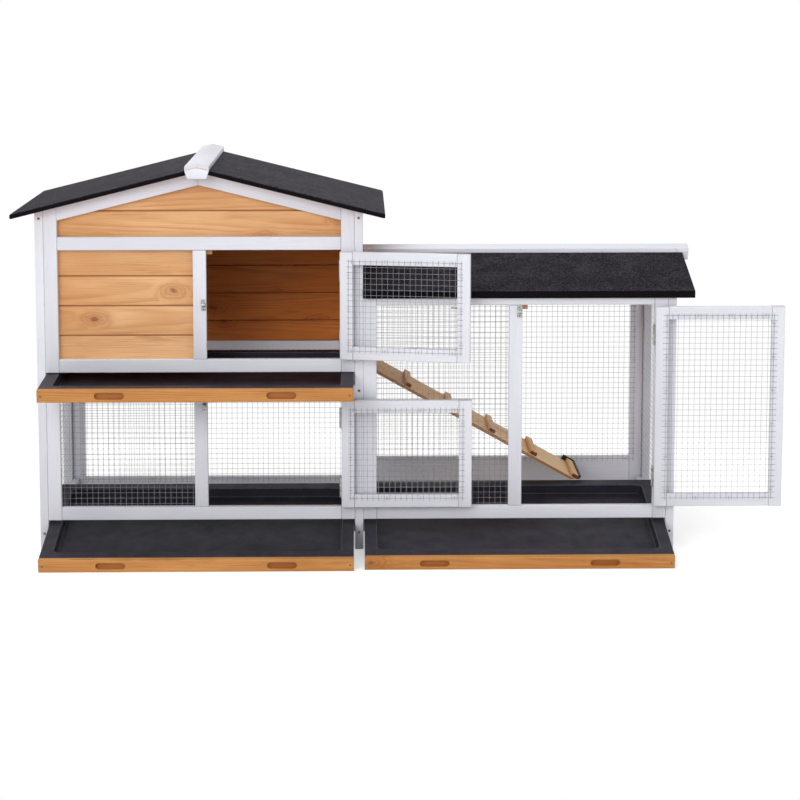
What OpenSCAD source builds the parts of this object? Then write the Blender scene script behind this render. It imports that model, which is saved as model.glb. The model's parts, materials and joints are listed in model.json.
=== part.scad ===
// Two-storey rabbit cage: a gabled house on the left, a roofed run on the right,
// three hinged net doors, three drawer trays on runners and a cleated ramp.
// Drawn with the doors folded back and the trays drawn out and tipped.

/* [Cage] */
// Clear width of each of the two bays of the house
house_bay_w = 303; // [260:1:380]
// Clear width of each of the two bays of the run
run_bay_w = 299.5; // [260:0.5:380]
// Depth over the side walls
cage_depth = 450; // [430:1:600]
// Height of the lower frames above the ground
frame_lift = 70; // [66:1:90]
// Clear height of the lower storey's bays
lower_bay_h = 250; // [210:1:320]
// Clear height of the upper storey's bays
upper_bay_h = 248; // [210:1:320]
// Clear height of the run's bays
run_bay_h = 462; // [400:1:500]
// Height of the slot between the frames where the upper tray slides
tray_slot_h = 30; // [29:0.5:40]

/* [Timber] */
// Face width of the frame sticks
stick_w = 30; // [24:1:34]
// Thickness of the front and rear frames
frame_t = 16; // [14:0.5:18]
// Thickness of the side walls
wall_t = 19; // [16:0.5:24]
// Height of the run's top rails
run_top_rail_h = 24; // [20:1:30]
// Height of the run's rear bottom rail
run_rear_rail_h = 62; // [40:1:80]
// Chamfer along the edges of the sticks
ease = 1.2; // [0.4:0.1:2]
// Face width of one wall board
board_pitch = 67.7; // [55:0.1:90]
// Thickness of the wall boards
board_t = 10; // [8:0.5:12]
// Chamfer that makes the V groove at a board's edges
board_v = 1.8; // [1:0.1:2.5]

/* [Roofs] */
// Pitch of the house roof
main_pitch = 14; // [10:0.5:20]
// Height of the house's side walls above its top rail
gable_wall_h = 56; // [50:1:80]
// Overhang of the house roof at its two eaves
eave_overhang = 50; // [20:1:70]
// Overhang of the house roof at the front and rear
gable_overhang = 38; // [20:1:60]
// Pitch of the run roof
run_pitch = 16; // [10:0.5:20]
// Overhang of the run roof at the front and rear
run_eave_overhang = 11; // [6:0.5:11]
// Overhang of the run roof at its free end
run_end_overhang = 40; // [20:1:60]
// Thickness of the felted roof boards
roof_t = 11.5; // [9:0.5:14]
// Drip edge of felt below the run roof's boards
drip_h = 4.5; // [3:0.5:6]
// Width of the ridge caps
cap_w = 54; // [44:1:70]
// Thickness of the ridge cap boards
cap_t = 10; // [8:0.5:14]
// Thickness of the blocks that close the ridge caps
cap_block_t = 14; // [10:1:18]
// How far the closing blocks reach below the ridge's underside
cap_block_drop = 13; // [8:1:20]

/* [Doors] */
// Thickness of the door sticks
door_t = 15; // [13:0.5:15]
// Face width of the door sticks
door_stick_w = 29; // [24:1:34]
// Gap between a door and its opening at the hinge side
hinge_gap = 4; // [3.6:0.1:5]
// Gap between a door and its opening at the bolt side
bolt_gap = 4.5; // [2:0.1:6]
// Gap above and below a door
door_gap = 2; // [1.5:0.1:4]
// Angle that the upper door stands open
upper_door_angle = 170; // [150:1:171]
// Angle that the two other doors stand open
folded_door_angle = 180; // [150:1:180]

/* [Hinges and bolts] */
// Height of a hinge
hinge_h = 45; // [36:1:60]
// Outer radius of the hinge knuckles
knuckle_r = 3; // [2.6:0.1:3.4]
// Radius of the hinge pins
hinge_pin_r = 1.25; // [1:0.05:1.5]
// Thickness of the hinge leaves
leaf_t = 1.2; // [1:0.1:1.4]
// Depth of the hinge leaves in the gap
leaf_d = 12; // [9:0.5:13]
// Distance from a house opening's edge to the middle of its hinges
house_hinge_inset = 45; // [35:1:70]
// Distance from the run opening's edge to the middle of its hinges
run_hinge_inset = 68; // [40:1:90]
// Radius of the bolt rods
bolt_r = 2.5; // [2:0.1:3]
// Height of the bolt plates and keepers
bolt_plate_h = 26.4; // [22:0.2:28]
// Length of the bolt plates
bolt_plate_l = 27; // [25:0.5:28]
// Thickness of the bolt plates and keepers
bolt_plate_t = 1.2; // [1:0.1:1.6]
// Height of the rod's axis above the door's face
bolt_axis_h = 4.5; // [4.2:0.1:5]
// Distance from the opening's top to the rod on the two lower doors
bolt_inset = 15; // [15:0.5:18]

/* [Nets] */
// Mesh of the welded net where its gaps stay under the limit
mesh_pitch = 12.7; // [12.7:0.1:25.4]
// Most gaps drawn in one net, past which the mesh is drawn coarser
net_gap_limit = 300; // [100:1:300]
// Width of a wire as drawn
wire_w = 1.6; // [1:0.1:2.4]
// Thickness of a net
net_t = 1; // [0.8:0.1:1.2]
// Lap of a net on its frame
net_lap = 13; // [6:1:14]

/* [Trays] */
// Distance from a closed tray's rear rim to the rear of the cage
tray_rear_gap = 35; // [35:1:70]
// Gap between a tray and the walls at each side
tray_side_gap = 2.5; // [2:0.1:4]
// Height of the wooden tray fronts
tray_front_h = 28.5; // [24:0.5:28.5]
// Thickness of the wooden tray fronts
tray_front_t = 15; // [12:0.5:16]
// Thickness of the tray sheet
tray_sheet_t = 0.8; // [0.6:0.1:1.2]
// Depth of a tray below its rim
tray_depth = 22; // [14:1:24]
// Width of the rim round a tray
tray_rim_w = 28; // [24:1:40]
// Corner radius of the trays' hollows
tray_corner_r = 14; // [6:1:24]
// Length of the finger grooves in a tray front
groove_l = 65; // [50:1:90]
// Height of the finger grooves
groove_h = 15.5; // [12:0.5:18]
// Depth of the finger grooves
groove_d = 9; // [5:0.5:11]
// Distance of the grooves' middles from the tray's middle
groove_spread = 188; // [120:1:220]
// How far the upper tray is drawn out
upper_tray_out = 163; // [100:1:200]
// How far the lower tray is drawn out
lower_tray_out = 194; // [120:1:220]
// How far the run's tray is drawn out
run_tray_out = 185; // [120:1:190]
// Tip of the upper tray, in degrees
upper_tray_tip = 2.2; // [0.5:0.1:2.4]

/* [Runners] */
// Width of the runner strips
runner_w = 13.5; // [10:0.5:18]
// Height of the runner strips
runner_h = 30; // [24:1:30]
// Radius of the rounded front top corner of a runner
runner_nose_r = 10; // [7:0.5:12]
// Radius of the screws that the trays tip over
pivot_screw_r = 2; // [1.5:0.1:2.5]

/* [Ramp] */
// Width of the ramp
ramp_w = 166; // [120:1:180]
// Distance of the ramp from the rear of the cage
ramp_rear_gap = 58; // [44:1:58]
// Thickness of the ramp board
ramp_t = 8.5; // [7:0.5:10]
// Reach of the ramp's underside from the house wall
ramp_reach = 490; // [440:1:540]
// Height of the ramp's foot above the ground
ramp_foot_z = 108; // [108:1:140]
// Distance between the ramp's cleats along the slope
cleat_pitch = 114; // [80:1:160]
// Width of the cleats
cleat_w = 17; // [12:1:24]
// Height of the cleats
cleat_h = 9; // [6:0.5:12]
// Height of the doorway above the ramp
doorway_h = 240; // [180:1:270]

/* [Hidden] */

$fn = 48;

// Gap at a glued or nailed joint
seat = 0.2;
// Clearance between pieces that slide on each other
slide_gap = 0.3;
// Radial clearance of a pin in its knuckles and of a screw in its runner
pin_fit = 0.05;
// Height that a tipped tray's front keeps above the ground
ground_gap = 0.4;
// Reach of the cutting solids past what they cut
past = 20;

// Widths, from the house's left face
house_w = 2 * wall_t + 3 * stick_w + 2 * house_bay_w;
house_mid = house_w / 2;
run_x0 = house_w;
run_x1 = run_x0 + 3 * stick_w + 2 * run_bay_w;
cage_x1 = run_x1 + wall_t;

// Levels, from the ground
lower_rail_top = frame_lift + stick_w;
lower_bay_top = lower_rail_top + lower_bay_h;
lower_frame_top = lower_bay_top + stick_w;
upper_frame_z = lower_frame_top + tray_slot_h;
upper_bay_z = upper_frame_z + stick_w;
upper_bay_top = upper_bay_z + upper_bay_h;
top_rail_top = upper_bay_top + stick_w;
main_eave_z = top_rail_top + gable_wall_h;
run_bay_top = lower_rail_top + run_bay_h;
run_eave_z = run_bay_top + run_top_rail_h;
wall_rail_z = 25;
mid_rail_z = lower_frame_top + 2 - stick_w;
mid_rail_top = mid_rail_z + stick_w;
house_rear_rail_z = frame_lift - 31;
rear_top_rail_z = upper_frame_z - stick_w - 4;
run_rear_rail_top = lower_rail_top + 17;
wall_top_rail_z = main_eave_z - stick_w;

// Roofs
main_rise = tan(main_pitch);
run_rise = tan(run_pitch);
run_mid = cage_depth / 2;
main_roof_v = roof_t / cos(main_pitch);
run_roof_v = roof_t / cos(run_pitch);
run_roof_x1 = cage_x1 + run_end_overhang;
function main_under(x) = main_eave_z + main_rise * (house_mid - abs(x - house_mid));
function run_under(y) = run_eave_z + run_rise * (run_mid - abs(y - run_mid));
main_ridge_under = main_under(house_mid);
run_ridge_under = run_under(run_mid);
main_ridge_z = main_ridge_under + main_roof_v + 2 * seat;
run_ridge_z = run_ridge_under + run_roof_v + 2 * seat;

// The house's boards run from side wall to side wall, and in a wall from post to post
boards_x0 = wall_t + 2 * seat;
boards_x1 = house_w - boards_x0;
boards_y0 = stick_w + 2 * seat;
boards_y1 = cage_depth - boards_y0;

// Openings that the doors close: left edge, right edge, bottom and top
house_bay_x1 = house_w - wall_t - stick_w - seat;
upper_opening = [wall_t + 2 * stick_w + house_bay_w, house_bay_x1, upper_bay_z, upper_bay_top];
lower_opening = [upper_opening[0], upper_opening[1], lower_rail_top, lower_bay_top];
run_opening = [run_x0 + 2 * stick_w + run_bay_w, run_x1 - stick_w - seat, lower_rail_top, run_bay_top];

// Hinge axes lie in the middle of the hinge gap, just in front of the frames
hinge_y = -(knuckle_r + seat);
function hinge_x(op) = op[1] - hinge_gap / 2;
function door_x0(op) = op[0] + bolt_gap;
function door_x1(op) = op[1] - hinge_gap;

// Heights of the bolts: half way up the upper door, near the top on the others
upper_bolt_z = (upper_opening[2] + upper_opening[3]) / 2;
lower_bolt_z = lower_opening[3] - bolt_inset;
run_bolt_z = run_opening[3] - bolt_inset;
bolt_loop_l = 4;
bolt_loop_r = bolt_r + slide_gap + 1.2;
bolt_knob_r = 1.8;
bolt_knob_x = bolt_plate_l - bolt_loop_l - slide_gap - bolt_knob_r;
bolt_rod_l = 44;
keeper_w = 12;
keeper_in_r = bolt_r + 0.7;
keeper_out_r = keeper_in_r + bolt_plate_t;

// Trays: a rim slides on the runners and tips over their rounded noses
tray_l = cage_depth - tray_rear_gap;
house_tray_w = house_w - 2 * wall_t - 2 * tray_side_gap;
run_tray_w = run_x1 - run_x0 - 2 * tray_side_gap;
runner_top = frame_lift - 2.8;
upper_runner_top = upper_frame_z - 1.8;
runner_y0 = frame_t + 1;
runner_y1 = cage_depth - frame_t - 3;
pivot_y = runner_y0 + runner_nose_r;
lower_pivot_z = runner_top - runner_nose_r;
upper_pivot_z = upper_runner_top - runner_nose_r;
rim_under = runner_nose_r + slide_gap;
rim_top = rim_under + tray_sheet_t;
front_low = rim_top - tray_front_h;
// Tip at which the front's lower edge stands on the ground
function ground_tip(out) =
    asin((lower_pivot_z - ground_gap) / norm([pivot_y + out, front_low])) - atan2(-front_low, pivot_y + out);
lower_tray_tip = ground_tip(lower_tray_out);
run_tray_tip = ground_tip(run_tray_out);

// Ramp: its top end rests on the house wall's middle rail
ramp_x0 = house_w - (wall_t - board_t) / 2 + seat;
ramp_drop = mid_rail_top + seat - ramp_foot_z;
ramp_angle = atan2(ramp_drop, ramp_reach);
ramp_v = ramp_t / cos(ramp_angle);
ramp_l = (ramp_drop + ramp_v) / sin(ramp_angle);
ramp_rear = cage_depth - ramp_rear_gap;
ramp_front = ramp_rear - ramp_w;
cleat_end = ramp_l + 3;
jamb_w = 15;
doorway_side = 12;
doorway_z0 = mid_rail_top + ramp_v + 3;
doorway_y0 = ramp_front - doorway_side;
doorway_y1 = ramp_rear + doorway_side;

// The drawing is centred on its own box, at the height of the ground
box_x0 = -eave_overhang;
box_x1 = 2 * hinge_x(run_opening) - door_x0(run_opening);
box_y0 = pivot_y - (pivot_y + lower_tray_out) * cos(lower_tray_tip) - rim_top * sin(lower_tray_tip);
box_y1 = cage_depth + gable_overhang + cap_block_t;
mid_x = (box_x0 + box_x1) / 2;
mid_y = (box_y0 + box_y1) / 2;

module in_frame() {
    translate([-mid_x, -mid_y, 0]) children();
}

// A rectangle with its four corners chamfered
module eased(a, b, c = ease) {
    polygon([[c, 0], [a - c, 0], [a, c], [a, b - c], [a - c, b], [c, b], [0, b - c], [0, c]]);
}

// Sticks with eased long edges, given by two opposite corners
module stick_x(lo, hi) {
    translate(lo) rotate([90, 0, 90]) linear_extrude(hi.x - lo.x) eased(hi.y - lo.y, hi.z - lo.z);
}

module stick_y(lo, hi) {
    size = hi - lo;
    translate([lo.x, hi.y, lo.z]) rotate([90, 0, 0]) linear_extrude(size.y) eased(size.x, size.z);
}

module stick_z(lo, hi) {
    translate(lo) linear_extrude(hi.z - lo.z) eased(hi.x - lo.x, hi.y - lo.y);
}

// An outline in the X-Z plane, given a thickness along Y
module upright_x(y0, y1) {
    translate([0, y1, 0]) rotate([90, 0, 0]) linear_extrude(y1 - y0) children();
}

// An outline in the Y-Z plane, given a thickness along X
module upright_y(x0, x1) {
    translate([x0, 0, 0]) rotate([90, 0, 90]) linear_extrude(x1 - x0) children();
}

// All that lies above the underside of the house roof
module above_main_roof() {
    x0 = -eave_overhang - past;
    x1 = house_w + eave_overhang + past;
    top = main_ridge_under + stick_w;
    upright_x(-past, cage_depth + past)
        polygon([[x0, main_under(x0)], [house_mid, main_ridge_under], [x1, main_under(x1)],
                 [x1, top], [x0, top]]);
}

// All that lies above the underside of the run roof
module above_run_roof() {
    y1 = cage_depth + past;
    top = run_ridge_under + stick_w;
    upright_y(run_x0 - past, cage_x1 + past)
        polygon([[-past, run_under(-past)], [run_mid, run_ridge_under], [y1, run_under(y1)],
                 [y1, top], [-past, top]]);
}

// Cross-section of a board, across its thickness and up its face: grooved below, and
// tongued above where the row says that another board follows
module board_profile(row) {
    h = row[1] - row[0] - seat;
    t3 = board_t / 3;
    tip = h + t3 - seat;
    top = row[2] ? [[2 * t3 - seat, h], [2 * t3 - seat, tip], [t3 + seat, tip], [t3 + seat, h]] : [];
    polygon(concat(
        [[board_v, 0], [t3, 0], [t3, t3], [2 * t3, t3], [2 * t3, 0], [board_t - board_v, 0],
         [board_t, board_v], [board_t, h - board_v], [board_t - board_v, h]],
        top,
        [[board_v, h], [0, h - board_v], [0, board_v]]
    ));
}

// Lower and upper edges of the boards that fill z0 to z1 with a seam at seam_z
function board_rows(z0, z1, seam_z) = [
    for (i = [floor((z0 - seam_z) / board_pitch) : ceil((z1 - seam_z) / board_pitch) - 1])
        let (lo = max(z0, seam_z + i * board_pitch), hi = min(z1, seam_z + (i + 1) * board_pitch))
            if (hi - lo > board_t) [lo, hi, hi < z1]
];

module boards_along_x(x0, x1, y0, z0, z1, seam_z) {
    for (row = board_rows(z0, z1, seam_z))
        translate([x0, y0, row[0]]) rotate([90, 0, 90]) linear_extrude(x1 - x0) board_profile(row);
}

module boards_along_y(x0, y0, y1, z0, z1, seam_z) {
    for (row = board_rows(z0, z1, seam_z))
        translate([x0, y1, row[0]]) rotate([90, 0, 0]) linear_extrude(y1 - y0) board_profile(row);
}

// A welded net over an opening, w wide and h high, with a plain edge that laps its frame
function drawn_pitch(w, h) = mesh_pitch * max(2, ceil(2 * sqrt(w * h / net_gap_limit) / mesh_pitch)) / 2;

module net_outline(w, h) {
    pitch = drawn_pitch(w, h);
    nx = floor(w / pitch);
    nz = floor(h / pitch);
    gap = pitch - wire_w;
    difference() {
        translate([-net_lap, -net_lap]) square([w + 2 * net_lap, h + 2 * net_lap]);
        translate([(w - nx * pitch + wire_w) / 2, (h - nz * pitch + wire_w) / 2])
            for (i = [0 : nx - 1], k = [0 : nz - 1])
                translate([i * pitch, k * pitch]) square(gap);
    }
}

// Nets in the X-Z plane and in the Y-Z plane, over the opening from lo to hi
module net_across(lo, hi, y0) {
    upright_x(y0, y0 + net_t) translate(lo) net_outline(hi.x - lo.x, hi.y - lo.y);
}

module net_along(lo, hi, x0) {
    upright_y(x0, x0 + net_t) translate(lo) net_outline(hi.x - lo.x, hi.y - lo.y);
}

// Posts and rails of a house side wall, standing on the ground
module house_wall_sticks(x0) {
    x1 = x0 + wall_t;
    rail_y0 = stick_w + seat;
    rail_y1 = cage_depth - stick_w - seat;
    for (y0 = [0, cage_depth - stick_w])
        difference() {
            stick_z([x0, y0, 0], [x1, y0 + stick_w, main_ridge_under]);
            above_main_roof();
        }
    difference() {
        stick_y([x0, rail_y0, wall_top_rail_z], [x1, rail_y1, wall_top_rail_z + 2 * stick_w]);
        above_main_roof();
    }
    for (z0 = [wall_rail_z, mid_rail_z])
        stick_y([x0, rail_y0, z0], [x1, rail_y1, z0 + stick_w]);
}

module house_left_wall_frame() {
    color("#e4e6ee") in_frame() house_wall_sticks(0);
}

// The right wall has jambs and a head round the doorway to the ramp
module house_right_wall_frame() {
    x0 = house_w - wall_t;
    head_z = doorway_z0 + doorway_h;
    color("#e4e6ee") in_frame() {
        house_wall_sticks(x0);
        for (y0 = [doorway_y0 - jamb_w, doorway_y1])
            stick_z([x0, y0, mid_rail_top + seat], [house_w, y0 + jamb_w, head_z]);
        stick_y([x0, doorway_y0 - jamb_w, head_z + seat], [house_w, doorway_y1 + jamb_w, head_z + jamb_w]);
    }
}

// A frame of two outer stiles with rails between them
module ladder_frame(x0, x1, y0, stile_z, rails) {
    y1 = y0 + frame_t;
    for (x = [x0, x1 - stick_w])
        stick_z([x, y0, stile_z[0]], [x + stick_w, y1, stile_z[1]]);
    for (rail = rails)
        stick_x([x0 + stick_w + seat, y0, rail[0]], [x1 - stick_w - seat, y1, rail[1]]);
}

// The stile between two bays
module middle_stile(x, y0, z0, z1) {
    stick_z([x, y0, z0 + seat], [x + stick_w, y0 + frame_t, z1 - seat]);
}

module house_front_lower_frame() {
    color("#e4e6ee") in_frame() {
        ladder_frame(wall_t + seat, house_w - wall_t - seat, 0, [frame_lift, lower_frame_top],
            [[frame_lift, lower_rail_top], [lower_bay_top, lower_frame_top]]);
        middle_stile(upper_opening[0] - stick_w, 0, lower_rail_top, lower_bay_top);
    }
}

// Rafter of a gable frame, from an outer stile to the ridge
module rafter(side) {
    x0 = wall_t + stick_w + 2 * seat;
    x1 = house_mid - seat / 2;
    low = stick_w / cos(main_pitch);
    translate([side > 0 ? house_w : 0, 0, 0]) mirror([side > 0 ? 1 : 0, 0, 0])
        polygon([[x0, main_under(x0) - low], [x1, main_under(x1) - low],
                 [x1, main_under(x1)], [x0, main_under(x0)]]);
}

module gable_frame(y0, has_middle) {
    x0 = wall_t + seat;
    x1 = house_w - wall_t - seat;
    difference() {
        ladder_frame(x0, x1, y0, [upper_frame_z, main_under(x0 + stick_w)],
            [[upper_frame_z, upper_bay_z], [upper_bay_top, top_rail_top]]);
        above_main_roof();
    }
    for (side = [-1, 1])
        upright_x(y0, y0 + frame_t) rafter(side);
    if (has_middle)
        middle_stile(upper_opening[0] - stick_w, y0, upper_bay_z, upper_bay_top);
}

module house_front_upper_frame() {
    color("#e4e6ee") in_frame() gable_frame(0, true);
}

module house_rear_lower_frame() {
    y0 = cage_depth - frame_t;
    color("#e4e6ee") in_frame()
        ladder_frame(wall_t + seat, house_w - wall_t - seat, y0, [house_rear_rail_z, upper_frame_z - seat],
            [[house_rear_rail_z, house_rear_rail_z + stick_w], [rear_top_rail_z, upper_frame_z - seat]]);
}

module house_rear_upper_frame() {
    color("#e4e6ee") in_frame() gable_frame(cage_depth - frame_t, false);
}

// Boards nailed behind the frame of the closed upper bay
module front_panel_boards() {
    z0 = upper_bay_z - stick_w / 2;
    z1 = z0 + 4 * board_pitch;
    color("#d9a06a") in_frame()
        boards_along_x(boards_x0, upper_opening[0] - stick_w / 2, frame_t + seat, z0, z1, z0);
}

module front_gable_boards() {
    z0 = top_rail_top - 10;
    color("#d9a06a") in_frame() difference() {
        boards_along_x(boards_x0, boards_x1, frame_t + seat, z0, main_ridge_under, z0);
        above_main_roof();
    }
}

module rear_wall_boards() {
    y0 = cage_depth - frame_t - board_t - seat;
    z0 = upper_frame_z + 1;
    color("#b87a44") in_frame() difference() {
        boards_along_x(boards_x0, boards_x1, y0, z0, main_ridge_under, upper_frame_z + 52);
        above_main_roof();
    }
}

module left_wall_boards() {
    x0 = (wall_t - board_t) / 2;
    color("#d9a06a") in_frame()
        boards_along_y(x0, boards_y0, boards_y1, mid_rail_top + seat, wall_top_rail_z - seat, mid_rail_top);
}

// Boards of the right wall, left open at the ramp's doorway
module right_wall_boards() {
    x0 = house_w - (wall_t + board_t) / 2;
    z0 = mid_rail_top + seat;
    z1 = wall_top_rail_z - seat;
    head_top = doorway_z0 + doorway_h + jamb_w;
    jamb_y0 = doorway_y0 - jamb_w - seat;
    color("#d9a06a") in_frame() {
        boards_along_y(x0, boards_y0, jamb_y0, z0, z1, mid_rail_top);
        boards_along_y(x0, jamb_y0 + seat, boards_y1, head_top + seat, z1, mid_rail_top);
    }
}

module house_front_net() {
    x0 = wall_t + stick_w;
    color("#a9abad") in_frame()
        net_across([x0, lower_rail_top], [x0 + house_bay_w, lower_bay_top], frame_t + seat);
}

module house_left_net() {
    color("#a9abad") in_frame()
        net_along([stick_w, wall_rail_z + stick_w], [cage_depth - stick_w, mid_rail_z], wall_t + seat);
}

module house_rear_net() {
    color("#a9abad") in_frame()
        net_across([wall_t + stick_w, house_rear_rail_z + stick_w],
            [house_w - wall_t - stick_w, rear_top_rail_z], cage_depth - frame_t - net_t - seat);
}

module run_front_frame() {
    color("#e4e6ee") in_frame() {
        ladder_frame(run_x0 + seat, run_x1 - seat, 0, [frame_lift, run_eave_z],
            [[frame_lift, lower_rail_top], [run_bay_top, run_eave_z]]);
        middle_stile(run_opening[0] - stick_w, 0, lower_rail_top, run_bay_top);
    }
}

module run_rear_frame() {
    color("#e4e6ee") in_frame()
        ladder_frame(run_x0 + seat, run_x1 - seat, cage_depth - frame_t, [house_rear_rail_z, run_eave_z],
            [[run_rear_rail_top - run_rear_rail_h, run_rear_rail_top], [run_bay_top, run_eave_z]]);
}

// End wall of the run: posts, a bottom rail and a gable board under the roof
module run_right_wall_frame() {
    x1 = cage_x1;
    y0 = stick_w + seat;
    y1 = cage_depth - stick_w - seat;
    color("#e4e6ee") in_frame() {
        for (post_y = [0, cage_depth - stick_w])
            difference() {
                stick_z([run_x1, post_y, 0], [x1, post_y + stick_w, run_ridge_under]);
                above_run_roof();
            }
        stick_y([run_x1, y0, wall_rail_z], [x1, y1, wall_rail_z + stick_w]);
        upright_y(run_x1, x1)
            polygon([[y0, run_bay_top], [y1, run_bay_top], [y1, run_under(y1)],
                     [run_mid, run_ridge_under], [y0, run_under(y0)]]);
    }
}

module run_front_net() {
    x0 = run_x0 + stick_w;
    color("#a9abad") in_frame()
        net_across([x0, lower_rail_top], [x0 + run_bay_w, run_bay_top], frame_t + seat);
}

module run_rear_net() {
    color("#a9abad") in_frame()
        net_across([run_x0 + stick_w, run_rear_rail_top], [run_x1 - stick_w, run_bay_top],
            cage_depth - frame_t - net_t - seat);
}

module run_right_net() {
    color("#a9abad") in_frame()
        net_along([stick_w, wall_rail_z + stick_w], [cage_depth - stick_w, run_bay_top],
            run_x1 - net_t - seat);
}

// Half of the house roof, as its outline across the ridge
module main_roof_half() {
    x0 = -eave_overhang;
    x1 = house_mid - seat / 2;
    z0 = main_under(x0) + seat;
    z1 = main_under(x1) + seat;
    upright_x(-gable_overhang, cage_depth + gable_overhang)
        polygon([[x0, z0], [x1, z1], [x1, z1 + main_roof_v], [x0, z0 + main_roof_v]]);
}

module main_roof_left() {
    color("#2f2d31") in_frame() main_roof_half();
}

module main_roof_right() {
    color("#2f2d31") in_frame() translate([house_w, 0, 0]) mirror([1, 0, 0]) main_roof_half();
}

// Half of the run roof, with the felt's drip edge along its eave
module run_roof_half() {
    y0 = -run_eave_overhang;
    y1 = run_mid - seat / 2;
    lip = 2.5;
    z0 = run_under(y0) + seat;
    z1 = run_under(y1) + seat;
    upright_y(run_x0 + slide_gap, run_roof_x1)
        polygon([[y0, z0 - drip_h], [y0 + lip, z0 - drip_h], [y0 + lip, z0 + lip * run_rise], [y1, z1],
                 [y1, z1 + run_roof_v], [y0, z0 + run_roof_v]]);
}

module run_roof_front() {
    color("#2f2d31") in_frame() run_roof_half();
}

module run_roof_rear() {
    color("#2f2d31") in_frame() translate([0, cage_depth, 0]) mirror([0, 1, 0]) run_roof_half();
}

// Two boards over a ridge, as an outline round the ridge's middle
module cap_outline(mid, z, rise) {
    half = cap_w / 2;
    polygon([[mid - half, z - half * rise], [mid, z], [mid + half, z - half * rise],
             [mid + half, z - half * rise + cap_t], [mid, z + cap_t], [mid - half, z - half * rise + cap_t]]);
}

// A block that closes the end of a cap, drawn in towards its foot
module cap_block_outline(mid, z, rise, foot_z) {
    half = cap_w / 2;
    foot = half - 6;
    side = z - half * rise - seat;
    polygon([[mid - foot, foot_z], [mid + foot, foot_z],
             [mid + half, side], [mid, z - seat], [mid - half, side]]);
}

module main_ridge_cap() {
    color("#eef0f6") in_frame()
        upright_x(-gable_overhang - cap_block_t, cage_depth + gable_overhang + cap_block_t)
            cap_outline(house_mid, main_ridge_z, main_rise);
}

module run_ridge_cap() {
    color("#eef0f6") in_frame()
        upright_y(run_x0 + slide_gap, run_roof_x1 + cap_block_t) cap_outline(run_mid, run_ridge_z, run_rise);
}

module ridge_end_blocks() {
    main_foot = main_ridge_under - cap_block_drop;
    run_foot = run_ridge_under - cap_block_drop;
    color("#eef0f6") in_frame() {
        for (y0 = [-gable_overhang - cap_block_t, cage_depth + gable_overhang + seat])
            upright_x(y0, y0 + cap_block_t - seat)
                cap_block_outline(house_mid, main_ridge_z, main_rise, main_foot);
        upright_y(run_roof_x1 + seat, run_roof_x1 + cap_block_t)
            cap_block_outline(run_mid, run_ridge_z, run_rise, run_foot);
    }
}

// Moves a piece drawn flat on the ramp's upper face to its place on the slope
module on_ramp() {
    translate([house_w, 0, mid_rail_top + seat + ramp_v]) rotate([0, ramp_angle, 0]) children();
}

// All that lies below the level of the ramp's foot
module below_ramp_foot() {
    translate([house_w, ramp_front - past, ramp_foot_z - 3 * past])
        cube([ramp_reach + 3 * past, ramp_w + 2 * past, 3 * past]);
}

module ramp_board() {
    color("#d8b384") in_frame() difference() {
        on_ramp() stick_x([-past, ramp_front, -ramp_t], [ramp_l + past, ramp_rear, 0]);
        translate([ramp_x0 - 3 * past, ramp_front - past, 0])
            cube([3 * past, ramp_w + 2 * past, main_eave_z]);
        below_ramp_foot();
    }
}

module ramp_cleats() {
    count = floor((cleat_end - 4 * cleat_w) / cleat_pitch) + 1;
    color("#cfa472") in_frame() on_ramp()
        for (i = [0 : count - 1])
            translate([cleat_end - cleat_w - i * cleat_pitch, 0, 0])
                stick_y([0, ramp_front, seat], [cleat_w, ramp_rear, cleat_h]);
}

// Black steel strip across the end of the last cleat, with a gusset at its rear that stands above it
module ramp_foot_bracket() {
    strip_t = 3.5;
    wing = 28;
    top = cleat_h + 3;
    color("#1d1d1f") in_frame() difference() {
        on_ramp() translate([cleat_end + seat, ramp_front, -past]) {
            cube([strip_t, ramp_w + seat + strip_t, past + top]);
            translate([-wing, ramp_w + seat, past]) cube([wing + 1, strip_t, top]);
        }
        below_ramp_foot();
    }
}

// Blocks behind the corner of each opening that stop its door
module stop_block(op) {
    reach = 13;
    lap = 13;
    y0 = frame_t + seat;
    stick_x([op[0] - lap, y0, op[3] - 12], [op[0] + reach, y0 + 14, op[3] + lap]);
}

module door_stop_blocks() {
    color("#c98f52") in_frame()
        for (op = [upper_opening, lower_opening, run_opening])
            stop_block(op);
}

// A runner strip: its front top corner is round, and a screw passes through its nose
module runner(x0, top) {
    nose = runner_nose_r;
    upright_y(x0, x0 + runner_w) difference() {
        union() {
            translate([pivot_y, top - runner_h]) square([runner_y1 - pivot_y, runner_h]);
            translate([runner_y0, top - runner_h]) square([pivot_y - runner_y0 + nose, runner_h - nose]);
            translate([pivot_y, top - nose]) circle(r = nose);
        }
        translate([pivot_y, top - nose]) circle(r = pivot_screw_r + pin_fit);
    }
}

// The lower left strip lies over the side net's edge
module house_tray_runners() {
    left = wall_t + seat;
    right = house_w - wall_t - seat - runner_w;
    color("#e4e6ee") in_frame() {
        runner(left + net_t + seat, runner_top);
        runner(right, runner_top);
        runner(left, upper_runner_top);
        runner(right, upper_runner_top);
    }
}

module run_tray_runners() {
    color("#e4e6ee") in_frame() {
        runner(run_x0 + seat, runner_top);
        runner(run_x1 - net_t - 2 * seat - runner_w, runner_top);
    }
}

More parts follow.
